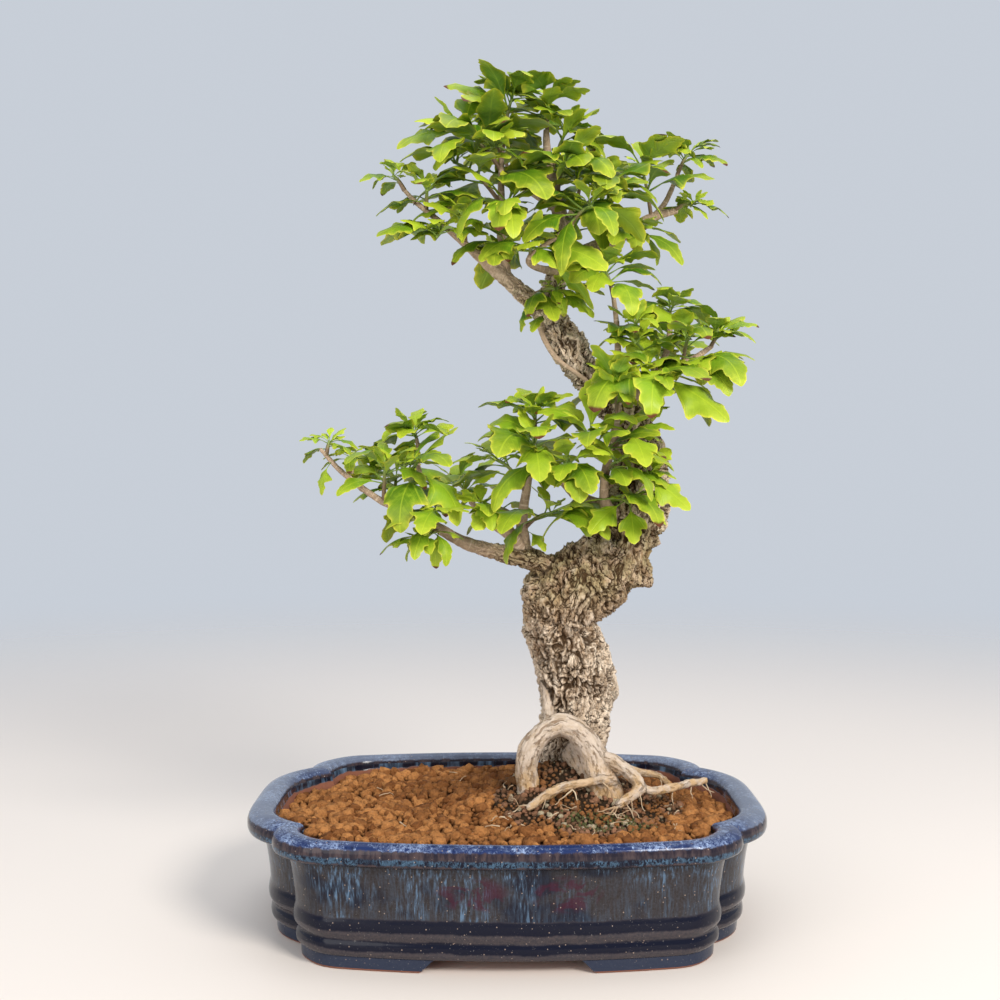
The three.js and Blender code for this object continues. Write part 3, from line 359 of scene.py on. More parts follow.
# Soil. The ground falls away from the mound that the trunk stands on.
GROUND_LEVEL = 58.5
MOUND = (31, -3, 23, 26)
FRONT_RISE = 2.5
BACK_DIP = 6.5
OLD_SOIL = (43, -18, 50, 62, 30)
CAVITY_HEIGHTS = (13, 52, 61, 66)
CAVITY_SPREADS = (-0.52, -0.1, 0.06, 0.12)
CAVITY_GAP = 0.035
BED_DEPTH = 1.6
HOLLOW_DEPTH = 26
MOSS_PATCH = (50, -60, 34, 17)
# Painted shadow of the crown on the soil: the middle of its darkest spot, and its reach along x and y, in
# metres
CROWN_SHADOW_CENTRE = (0.028, 0.026, 0.0)
CROWN_SHADOW_REACH = (0.085, 0.05)
SPILT_CLAY = (0.40, 0.17, 0.06)

# Bark: heights of the painted shade at the fork and of the fading towards the crown, and how craggy a root
# is.
FORK = (158.0, 200.0)
CROWN_FADE = (290.0, 225.0)
ROOT_CRAG = 0.1

# Stage, in metres: the floor, and each light's name, place, size, power and tint
SKY_STRENGTH = 0.72
SENSOR_WIDTH = 36.0
FLOOR_REACH = 3.0
FLOOR_LEVEL = -0.0003
LIGHTS_AIM = Vector((0.0, 0.0, 0.2))
LIGHTS = (
    ("key", (0.75, -1.15, 1.0), 0.55, 23.0, (1.0, 0.96, 0.90)),
    ("fill", (-1.0, -1.3, 0.5), 1.2, 10.0, (1.0, 0.97, 0.93)),
    ("top", (0.0, 0.3, 1.7), 1.4, 6.0, (1.0, 1.0, 1.0)),
)


# Sizes and colours that a user may change


def amount(name, description, value, low, high, **more):
    return FloatProperty(name=name, description=description, default=value, min=low, max=high, **more)


def length(name, description, value, low, high):
    return amount(name, description, value, low, high, unit="LENGTH", precision=4)


def share(name, description, value):
    return amount(name, description, value, 0.0, 1.0, subtype="FACTOR")


def colour(name, description, value):
    return FloatVectorProperty(
        name=name, description=description, default=value, min=0.0, max=1.0, size=3, subtype="COLOR"
    )


class PotSettings(PropertyGroup):
    """Sizes and colours of the glazed pot."""

    length: length("Length", "Length of the pot over its rim", POT_HIGH.x - POT_LOW.x, 0.05, 1.0)
    width: length("Width", "Width of the pot over its rim", POT_HIGH.y - POT_LOW.y, 0.05, 1.0)
    height: length("Height", "Height of the pot's rim above its feet", POT_HIGH.z - POT_LOW.z, 0.02, 0.3)
    wall: colour("Wall", "Grey-brown glaze on the wall", (0.023, 0.018, 0.017))
    streak: colour("Streaks", "Pale blue runs in the glaze", (0.105, 0.18, 0.28))
    navy: colour("Navy", "Glaze that pools on the ribs and the foot", (0.0035, 0.0045, 0.014))
    cobalt: colour("Cobalt", "Glaze on the top of the rim", (0.014, 0.027, 0.095))
    froth: colour("Froth", "Milky mottling of the rim", (0.29, 0.38, 0.58))
    thin: colour("Thin glaze", "Brown where the glaze thins on the lip", (0.062, 0.043, 0.046))
    clay: colour("Clay", "Unglazed clay inside and under the foot", (0.27, 0.095, 0.05))


class SoilSettings(PropertyGroup):
    """Sizes and colours of the clay grains, the old soil and the moss."""

    grain: length("Grain", "Usual width of a clay grain", 0.0062, 0.001, 0.02)
    spacing: length("Grain spacing", "Least distance between two clay grains", 0.0029, 0.001, 0.02)
    gravel: length("Gravel", "Usual width of a bit of gravel in the old soil", 0.0030, 0.0005, 0.01)
    gravel_spacing: length("Gravel spacing", "Least distance between bits of gravel", 0.0023, 0.0005, 0.01)
    tuft: length("Moss", "Usual width of a tuft of moss", 0.0028, 0.0005, 0.01)
    ochre: colour("Ochre", "Lit side of the clay grains", (0.57, 0.25, 0.082))
    umber: colour("Umber", "Darker clay grains", (0.155, 0.049, 0.014))
    gravel_red: colour("Gravel red", "Reddish gravel in the old soil", (0.46, 0.23, 0.13))
    gravel_pale: colour("Gravel pale", "Pale gravel in the old soil", (0.62, 0.52, 0.35))
    moss: colour("Moss green", "Moss on the old soil", (0.065, 0.082, 0.018))


class WoodSettings(PropertyGroup):
    """Sizes and colours of the trunk, the branches and the roots."""

    cell: length("Cell", "Edge of the faces that the wood is built from", 0.00098, 0.0005, 0.005)
    crack_depth: length("Crack depth", "Depth of the cracks in the old bark", 0.0026, 0.0, 0.01)
    lump: length("Lumps", "Height of the lumps of the old trunk", 0.0037, 0.0, 0.01)
    pale: colour("Pale bark", "Dry ridges of the bark", (0.86, 0.71, 0.54))
    grey: colour("Grey bark", "Shaded sides of the bark", (0.50, 0.345, 0.21))
    crack: colour("Cracks", "Bottom of the cracks", (0.055, 0.028, 0.011))
    twig: colour("Twigs", "Smooth young wood", (0.36, 0.26, 0.18))
    root: colour("Roots", "Bare surface roots", (0.50, 0.37, 0.255))
    moss: colour("Bark moss", "Green bloom where the trunk forks", (0.33, 0.32, 0.13))


class FoliageSettings(PropertyGroup):
    """Sizes and colours of the leaves."""

    stem: length("Stem", "Radius of a leafy stem at its foot", 0.00115, 0.0002, 0.005)
    filling: share("Filling", "Leaves grown between the others, against their number", 0.45)
    size: amount("Leaf size", "Size of the leaves", 1.1, 0.5, 1.5)
    cup: share("Cup", "How far the sides of a blade bend down", 0.42)
    young_size: share("Young size", "Size of a young leaf against a grown one", 0.75)
    deep: colour("Deep green", "Old leaves", (0.052, 0.14, 0.005))
    mid: colour("Mid green", "Usual leaves", (0.215, 0.36, 0.014))
    lime: colour("Lime green", "Young leaves", (0.49, 0.61, 0.035))
    margin: colour("Margin", "Yellowed edge of a blade", (0.66, 0.62, 0.06))
    dry: colour("Dry tip", "Brown tip of an old blade", (0.11, 0.035, 0.012))
    stalk: colour("Stalk", "Leaf stalks and soft stems", (0.22, 0.33, 0.06))


class StudioSettings(PropertyGroup):
    """The floor, the lights and the camera."""

    eye: FloatVectorProperty(
        name="Camera", description="Place of the camera", default=(-0.0037, -0.762, 0.2466),
        size=3, unit="LENGTH",
    )
    pitch: amount("Pitch", "How far the camera looks down", 0.032, -1.5, 1.5, unit="ROTATION")
    lens: amount("Lens", "Focal length in millimetres on a 36 mm sensor", 50.9, 10.0, 300.0)
    floor: colour("Floor", "The plain floor", (0.82, 0.745, 0.68))
    sky: colour("Surround", "The plain surround", (0.80, 0.86, 0.95))
    strength: amount("Light", "Strength of the soft lights", 1.0, 0.0, 10.0)


# Node trees


def enabled(sockets, key):
    """A node's socket by its place or its name. Of several with that name, the one that is shown is meant."""
    if isinstance(key, int):
        return sockets[key]
    return next(socket for socket in sockets if socket.name == key and socket.enabled)


def plug(tree, socket, value):
    """Feeds a socket with another node's output or with a constant. A colour's three numbers are enough."""
    if isinstance(value, Field):
        tree.links.new(value.socket, socket)
    elif socket.type == "RGBA":
        socket.default_value = (*value, 1.0)
    else:
        socket.default_value = value


def add(tree, kind, feeds=None, out=0, **settings):
    """Adds a node, sets its properties, feeds its sockets and gives one of its outputs."""
    node = tree.nodes.new(kind)
    for name, value in settings.items():
        setattr(node, name, value)
    for key, value in (feeds or {}).items():
        plug(tree, enabled(node.inputs, key), value)
    return Field(tree, enabled(node.outputs, out))


class Field:
    """A node's output. Sums, products and the methods below add nodes behind it."""

    def __init__(self, tree, socket):
        self.tree = tree
        self.socket = socket

    @property
    def is_vector(self):
        return self.socket.type in ("VECTOR", "ROTATION")

    def of(self, key):
        """Another output of the same node."""
        return Field(self.tree, enabled(self.socket.node.outputs, key))

    def math(self, operation, *others):
        return add(self.tree, "ShaderNodeMath", dict(enumerate((self, *others))), operation=operation)

    def vector_math(self, operation, *others):
        return add(self.tree, "ShaderNodeVectorMath", dict(enumerate((self, *others))), operation=operation)

    def __add__(self, other):
        return self.vector_math("ADD", other) if self.is_vector else self.math("ADD", other)

    __radd__ = __add__

    def __sub__(self, other):
        return self.vector_math("SUBTRACT", other) if self.is_vector else self.math("SUBTRACT", other)

    def __rsub__(self, other):
        return self.math("MULTIPLY_ADD", -1.0, other)

    def __mul__(self, other):
        if not self.is_vector:
            return self.math("MULTIPLY", other)
        if isinstance(other, tuple) or (isinstance(other, Field) and other.is_vector):
            return self.vector_math("MULTIPLY", other)
        return add(self.tree, "ShaderNodeVectorMath", {0: self, "Scale": other}, operation="SCALE")

    __rmul__ = __mul__

    def __truediv__(self, other):
        return self.math("DIVIDE", other)

    def __neg__(self):
        return self.math("MULTIPLY", -1.0)

    def sin(self):
        return self.math("SINE")

    def cos(self):
        return self.math("COSINE")

    def abs(self):
        return self.math("ABSOLUTE")

    def max(self, other):
        return self.math("MAXIMUM", other)

    def min(self, other):
        return self.math("MINIMUM", other)

    def power(self, other):
        return self.math("POWER", other)

    def ramp(self, low, high):
        """0 below low, 1 above high and a smooth step between. With low over high it falls instead."""
        if low > high:
            return 1.0 - self.ramp(high, low)
        feeds = {"Value": self, "From Min": low, "From Max": high}
        return add(self.tree, "ShaderNodeMapRange", feeds, interpolation_type="SMOOTHSTEP")

    def between(self, low, high, soft):
        """1 between two values and 0 outside them."""
        return self.ramp(low - soft, low + soft) * self.ramp(high + soft, high - soft)

    def split(self):
        node = add(self.tree, "ShaderNodeSeparateXYZ", {0: self})
        return node, node.of(1), node.of(2)

    def stretched(self, factor):
        """The place with its height scaled, so that a pattern on it is drawn out or flattened."""
        return self * (1.0, 1.0, factor)

    def noise(self, scale, detail=3.0, roughness=0.55, distortion=0.0, out=0):
        feeds = {"Scale": scale, "Detail": detail, "Roughness": roughness, "Distortion": distortion}
        return add(self.tree, "ShaderNodeTexNoise", {"Vector": self, **feeds}, out)

    def lines(self, scale, detail, roughness):
        """Noise that falls to 0 along wandering lines."""
        return (self.noise(scale, detail, roughness) - 0.5).abs()

    def cells(self, scale):
        return add(self.tree, "ShaderNodeTexVoronoi", {"Vector": self, "Scale": scale})

    def mix(self, low, high):
        """One colour where this is 0 and the other where it is 1."""
        return add(self.tree, "ShaderNodeMix", {0: self, 6: low, 7: high}, out=2, data_type="RGBA")


def combine(tree, x, y, z):
    return add(tree, "ShaderNodeCombineXYZ", {0: x, 1: y, 2: z})


def new_tree(kind, name, inputs, outputs):
    """A node group with named sockets, each given with its kind. An input's default comes second."""
    tree = bpy.data.node_groups.new(name, kind)
    for label, (socket_kind, value) in inputs.items():
        socket = tree.interface.new_socket(label, in_out="INPUT", socket_type="NodeSocket" + socket_kind)
        if value is not None:
            socket.default_value = value
    for label, socket_kind in outputs.items():
        tree.interface.new_socket(label, in_out="OUTPUT", socket_type="NodeSocket" + socket_kind)
    start = tree.nodes.new("NodeGroupInput")
    return tree, lambda label: Field(tree, enabled(start.outputs, label))


def close_tree(tree, **fields):
    """Feeds the outputs of a node group."""
    end = tree.nodes.new("NodeGroupOutput")
    for label, field in fields.items():
        tree.links.new(field.socket, enabled(end.inputs, label))
    return tree


# Geometry Nodes


def geometry_tree(name, inputs):
    inputs = {"Geometry": ("Geometry", None), **inputs}
    return new_tree("GeometryNodeTree", name, inputs, {"Geometry": "Geometry"})


def read(tree, name, kind="FLOAT"):
    return add(tree, "GeometryNodeInputNamedAttribute", {"Name": name}, out="Attribute", data_type=kind)


def store(geometry, name, value, domain="POINT"):
    feeds = {"Geometry": geometry, "Name": name, "Value": value}
    return add(geometry.tree, "GeometryNodeStoreNamedAttribute", feeds, data_type="FLOAT", domain=domain)


def random_field(tree, low, high, seed):
    feeds = {"Min": low, "Max": high, "Seed": seed}
    return add(tree, "FunctionNodeRandomValue", feeds, out="Value", data_type="FLOAT")


def change(geometry, kind, **feeds):
    """Puts a node with the prefix GeometryNode behind a geometry."""
    return add(geometry.tree, "GeometryNode" + kind, {"Geometry": geometry, **feeds})


def shape_instances(points, inlet, feeds):
    """A shape of the collection on each point."""
    pick = {"Collection": inlet("Shapes"), "Separate Children": True, "Reset Children": True}
    shapes = add(points.tree, "GeometryNodeCollectionInfo", pick)
    feeds = {"Points": points, "Instance": shapes, "Pick Instance": True, **feeds}
    return add(points.tree, "GeometryNodeInstanceOnPoints", feeds)


def joined(*parts):
    tree = parts[0].tree
    node = tree.nodes.new("GeometryNodeJoinGeometry")
    for part in parts:
        tree.links.new(part.socket, node.inputs[0])
    return Field(tree, node.outputs[0])


def evaluated_mesh(carrier, name):
    """The mesh that a carrier's modifiers give. The carrier is removed."""
    graph = bpy.context.evaluated_depsgraph_get()
    source = carrier.evaluated_get(graph)
    mesh = bpy.data.meshes.new_from_object(source, preserve_all_data_layers=True, depsgraph=graph)
    mesh.name = name
    bpy.data.objects.remove(carrier)
    return mesh


def linked(name, data):
    """A new object in the scene."""
    item = bpy.data.objects.new(name, data)
    bpy.context.scene.collection.objects.link(item)
    return item


def run_tree(name, mesh, tree, values):
    """The mesh that a Geometry Nodes tree makes from a starting mesh."""
    carrier = linked("carrier", mesh)
    modifier = carrier.modifiers.new("shape", "NODES")
    modifier.node_group = tree
    for item in tree.interface.items_tree:
        if item.item_type == "SOCKET" and item.in_out == "INPUT" and item.name in values:
            modifier[item.identifier] = values[item.name]
    mesh = evaluated_mesh(carrier, name)
    for i in reversed(range(len(mesh.materials))):
        if mesh.materials[i] is None:
            mesh.materials.pop(index=i)
    return mesh


def add_piece(name, mesh, slot, *nodes):
    """A finished piece on the object's only body, in place of the nodes given."""
    piece = linked(name, mesh)
    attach(piece, BODY)
    if nodes:
        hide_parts(*nodes)


# Meshes


def draw(a, b, c):
    """A repeatable number from 0 to 1 for three whole numbers."""
    wave = math.sin(a * 12.9898 + b * 78.233 + c * 37.719) * 43758.5453
    return wave - math.floor(wave)


def mix(a, b, t):
    return a + (b - a) * t


def smooth_step(low, high, value):
    t = np.clip((value - low) / (high - low), 0.0, 1.0)
    return t * t * (3 - 2 * t)


def mesh_from(name, verts, faces, smooth=True):
    mesh = bpy.data.meshes.new(name)
    mesh.from_pydata([tuple(v) for v in verts], [], faces)
    mesh.update()
    if smooth:
        mesh.shade_smooth()
    return mesh


def set_attribute(mesh, name, values, kind="FLOAT"):
    attribute = mesh.attributes.get(name) or mesh.attributes.new(name, kind, "POINT")
    key = "vector" if kind == "FLOAT_VECTOR" else "value"
    number_type = np.int32 if kind == "INT" else np.float32
    attribute.data.foreach_set(key, np.asarray(values, dtype=number_type).ravel())


def vertex_array(mesh):
    flat = np.empty(len(mesh.vertices) * 3)
    mesh.vertices.foreach_get("co", flat)
    return flat.reshape(-1, 3)


def lofted_faces(rows, sides):
    """Quads between closed rings of the same number of points."""
    faces = []
    for i in range(rows - 1):
        for k in range(sides):
            a = i * sides + k
            b = i * sides + (k + 1) % sides
            faces.append((a, b, b + sides, a + sides))
    return faces


def closed_loft(rings):
    """Rings joined in order, with a fan over each end."""
    sides = len(rings[0])
    verts = [tuple(p) for ring in rings for p in ring]
    faces = lofted_faces(len(rings), sides)
    for end in (0, len(rings) - 1):
        tip = len(verts)
        verts.append(tuple(np.mean(np.array(rings[end]), axis=0)))
        for k in range(sides):
            a = end * sides + k
            b = end * sides + (k + 1) % sides
            faces.append((a, b, tip) if end else (b, a, tip))
    return verts, faces


def outward(mesh):
    """Turns a closed mesh's faces outwards."""
    work = bmesh.new()
    work.from_mesh(mesh)
    bmesh.ops.recalc_face_normals(work, faces=work.faces)
    work.to_mesh(mesh)
    work.free()
    return mesh


def catmull(points, steps):
    """A smooth curve through the points. Each point has any number of values."""
    points = [np.array(p, dtype=float) for p in points]
    padded = [2 * points[0] - points[1], *points, 2 * points[-1] - points[-2]]
    curve = []
    for a, b, c, d in zip(padded, padded[1:], padded[2:], padded[3:]):
        for i in range(steps):
            t = i / steps
            bend = (2 * a - 5 * b + 4 * c - d) * t * t + (3 * b - a - 3 * c + d) * t**3
            curve.append(0.5 * (2 * b + (c - a) * t + bend))
    curve.append(points[-1])
    return curve


# Materials


def grit_group():
    """Fine pits and crumbs, as height from 0 to 1, and broad patches of tone."""
    existing = bpy.data.node_groups.get("grit")
    if existing:
        return existing
    inputs = {"Vector": ("Vector", None), "Scale": ("Float", 400.0)}
    tree, inlet = new_tree("ShaderNodeTree", "grit", inputs, {"Height": "Float", "Patches": "Float"})
    place, scale = inlet("Vector"), inlet("Scale")
    height = place.noise(scale * 3.0, 4.0, 0.7) * 0.65 + place.cells(scale * 1.6) * 0.5
    return close_tree(tree, Height=height, Patches=place.noise(scale * 0.25, 3.0, 0.6))


def dimmed(colour, factor):
    return tuple(part * factor for part in colour)


class Finish:
    """A material with one Principled shader, and short ways to the nodes that feed it."""

    def __init__(self, name, roughness, specular=0.5):
        self.material = bpy.data.materials.new(name)
        self.material.use_nodes = True
        self.tree = self.material.node_tree
        self.tree.nodes.clear()
        self.shader = self.tree.nodes.new("ShaderNodeBsdfPrincipled")
        output = self.tree.nodes.new("ShaderNodeOutputMaterial")
        self.tree.links.new(self.shader.outputs[0], output.inputs[0])
        self.feed("Roughness", roughness)
        self.feed("Specular IOR Level", specular)
        self.place = add(self.tree, "ShaderNodeTexCoord", out="Object")

    def feed(self, name, value):
        plug(self.tree, self.shader.inputs[name], value)

    def attribute(self, name, out="Fac"):
        return add(self.tree, "ShaderNodeAttribute", out=out, attribute_name=name)

    def grit(self, scale, place=None):
        feeds = {"Vector": place or self.place, "Scale": scale}
        return add(self.tree, "ShaderNodeGroup", feeds, node_tree=grit_group())

    def done(self, colour, height, strength, distance):
        """Feeds the colour and the bumps, and gives the material."""
        feeds = {"Height": height, "Strength": strength, "Distance": distance}
        self.feed("Base Color", colour)
        self.feed("Normal", add(self.tree, "ShaderNodeBump", feeds))
        return self.material


def glaze_material(settings):
    """A dark glaze with pale blue runs, pooled navy over the ribs and a mottled cobalt rim."""
    finish = Finish("blue_glaze", 0.14, 0.2)
    place, navy, streak = finish.place, settings.navy, settings.streak
    x, y, z = place.split()
    height = z * TO_MM
    fine = place.noise(900.0, 4.0, 0.75)
    blotch = place.stretched(1.4).noise(24.0, 3.0, 0.6)
    clusters = place.stretched(0.5).noise(44.0, 3.0, 0.65)
    runs = place.stretched(0.11).noise(900.0, 4.0, 0.65)
    drips = place.stretched(0.2).noise(250.0, 4.0, 0.7)
    mottle = place.noise(430.0, 6.0, 0.8, 0.6)
    level = height + (place.noise(38.0, 2.0) * 3.0 - 1.5) + drips * 1.6 - 0.8

    # Wall: grey-brown with navy blotches, pale runs and two dark red blooms
    wall = (fine.ramp(0.35, 0.7) * 0.8).mix(settings.wall, (0.042, 0.038, 0.044))
    wall = (blotch.ramp(0.50, 0.64) * 0.85).mix(wall, navy)
    wall = (runs.ramp(0.40, 0.62) * (clusters.ramp(0.36, 0.66) * 0.28 + 0.05)).mix(wall, streak)
    strong = runs.ramp(0.55, 0.66) * (clusters + height.ramp(38.0, 51.0) * 0.06).ramp(0.45, 0.62)
    wall = (strong * 0.75).mix(wall, streak)
    flush = place.stretched(1.5).noise(60.0, 4.0, 0.65, 0.8).ramp(0.50, 0.60)
    for across in BLOOMS:
        reach = ((x - across).abs() * TO_MM / 17.0).power(2.0) + ((height - 39.0).abs() / 9.0).power(2.0)
        wall = (flush * reach.ramp(1.3, 0.4) * y.ramp(-0.02, -0.06) * 0.65).mix(wall, (0.045, 0.005, 0.018))

    # Ribs and foot, with navy that pools over each rib
    ridge = fine.ramp(0.3, 0.7).mix((0.066, 0.052, 0.054), (0.034, 0.032, 0.040))
    body = level.ramp(25.4, 26.4).mix(ridge, wall)
    body = level.between(*UPPER_POOL, 0.7).max(level.between(*LOWER_POOL, 0.7)).mix(body, navy)
    foot = fine.mix((0.012, 0.018, 0.042), (0.036, 0.044, 0.068))
    body = height.ramp(6.9, 6.2).mix(body, foot)

    # Rim: a thin brown lip, a fringe of threads, a milky top and painted shade in the crease under the lip
    lip = (drips.ramp(0.36, 0.60) * 0.8).mix(settings.thin, navy)
    body = height.ramp(52.2, 53.0).mix(body, lip)
    threads = place.stretched(0.4).lines(380.0, 4.0, 0.7).ramp(0.05, 0.0)
    lace = threads.max((mottle + clusters * 0.35 - 0.16).ramp(0.50, 0.62) * 0.6) * clusters.ramp(0.30, 0.5)
    fringe = (lace * 0.8).mix(navy, (0.08, 0.16, 0.25))
    body = (height + drips * 4.0 - 2.0).between(53.6, 56.6, 0.6).mix(body, fringe)
    web = place.lines(520.0, 4.0, 0.65).ramp(0.04, 0.005)
    froth = (mottle + clusters * 0.4 - 0.2).ramp(0.50, 0.66).max(web * clusters.ramp(0.4, 0.6) * 0.6)
    top = (drips.ramp(0.55, 0.7) * 0.7).mix(froth.mix(settings.cobalt, settings.froth), navy)
    steel = (x * TO_MM).abs().ramp(112.0, 126.0).max(y.ramp(0.03, 0.09))
    top = (steel * (0.35 + mottle * 0.5)).mix(top, (0.19, 0.22, 0.28))
    body = (height + drips * 3.0 - 1.5).ramp(60.0, 61.0).mix(body, top)
    # Painted shade: a near-black band in the crease under the lip
    body = (height.between(51.0, 52.1, 0.4) * 0.75).mix(body, (0.008, 0.006, 0.008))

    # Pale specks and dust
    speck = place.cells(400.0)
    rare = add(finish.tree, "ShaderNodeSeparateColor", {0: speck.of("Color")})
    specks = (speck * (fine * 1.5 + 0.4)).ramp(0.16, 0.09) * rare.ramp(0.45, 0.47)
    body = (specks * 0.7).mix(body, (0.42, 0.31, 0.24))
    dust = place.noise(1500.0, 2.0, 0.5).ramp(0.70, 0.76) * height.ramp(52.0, 10.0)
    body = (dust * 0.7).mix(body, (0.40, 0.37, 0.34))
    finish.feed("Roughness", fine * 0.14 + 0.07)
    return finish.done(body, place.noise(70.0, 2.0) * 0.8 + drips * 0.14 + specks * 0.15, 0.5, 0.0006)


def raw_clay_material(settings):
    """Red-brown bare clay, with glaze that ends in a wavy line just inside the rim."""
    finish = Finish("bare_clay", 0.7)
    place = finish.place
    _, _, z = place.split()
    grit = finish.grit(500.0)
    clay = grit.of("Patches").mix(settings.clay, dimmed(settings.clay, 0.55))
    edge = (z * TO_MM + place.noise(60.0, 3.0) * 5.0).ramp(58.0, 58.8)
    inner = place.stretched(0.2).noise(200.0, 4.0).ramp(0.45, 0.75).mix(settings.navy, settings.streak)
    finish.feed("Roughness", 0.85 - edge * 0.68)
    return finish.done(edge.mix(clay, inner), grit * (1.0 - edge), 0.5, 0.0004)


def plastic_material():
    finish = Finish("mesh_plastic", 0.5)
    grit = finish.grit(900.0)
    finish.feed("Roughness", grit * 0.2 + 0.42)
    return finish.done(grit.of("Patches").mix((0.012, 0.013, 0.015), (0.03, 0.032, 0.036)), grit, 0.2, 0.0002)


def earth_material(name, dark, light, scale, gap=0.0, third=None, spilt=None):
    """Crumbly grains, each with its own tone between dark and light, with painted shade in their pits,
    painted shade that darkens them up to gap above the bed, and a painted shadow of the crown.
    """
    finish = Finish(name, 0.92, 0.12)
    place = finish.place
    grit = finish.grit(scale)
    crumbs = place.noise(scale * 0.9, 5.0, 0.75)
    tint = (finish.attribute("tone") * 0.6 + crumbs * 0.55 - 0.06).ramp(0.0, 0.85).mix(dark, light)
    if third is not None:
        tint = finish.attribute("odd").ramp(0.80, 0.86).mix(tint, third)
    if spilt is not None:
        tint = place.noise(70.0, 3.0).ramp(0.51, 0.57).mix(tint, spilt)
    # Painted shade in the pits of the grit
    tint = ((1.0 - grit).ramp(0.25, 0.75) * 0.4).mix(tint, dimmed(dark, 0.45))
    # Painted shade in the gaps between grains: darker up to gap above the bed
    if gap:
        tint = (finish.attribute("rise").ramp(gap, gap * 0.2) * 0.85).mix(tint, dimmed(dark, 0.35))
    # Painted shadow of the crown: the soil darkens towards a spot just behind the trunk
    x, y, _ = (place - CROWN_SHADOW_CENTRE).split()
    away = (x * x / (CROWN_SHADOW_REACH[0] ** 2) + y * y / (CROWN_SHADOW_REACH[1] ** 2)) + crumbs * 0.8 - 0.4
    tint = (away.ramp(1.3, 0.6) * 0.5).mix(tint, dimmed(dark, 0.6))
    return finish.done(tint, grit + crumbs * 1.5, 1.0, 0.001)


def moss_material(settings):
    finish = Finish("moss", 0.8)
    grit = finish.grit(700.0)
    green = finish.attribute("tone").mix(settings.moss, (0.22, 0.21, 0.07))
    return finish.done((grit.of("Patches") * 0.5).mix(green, (0.03, 0.04, 0.008)), grit, 0.5, 0.0003)


def bark_cracks(place):
    """Old bark as three fields that fall to 0 in its long fissures, its short ones and its smallest ones."""
    warp = place.noise(85.0, 3.0, 0.5, out="Color")
    warp = warp.vector_math("SUBTRACT", (0.5, 0.5, 0.5))
    bent = place.stretched(0.55) + warp * 0.016
    fissures = bent.lines(150.0, 2.0, 0.5)
    short = (bent + (0.3, 0.1, 0.2)).lines(290.0, 2.0, 0.55)
    small = (bent.stretched(0.7) + (0.1, 0.5, 0.4)).lines(620.0, 2.0, 0.55)
    return fissures, short, small


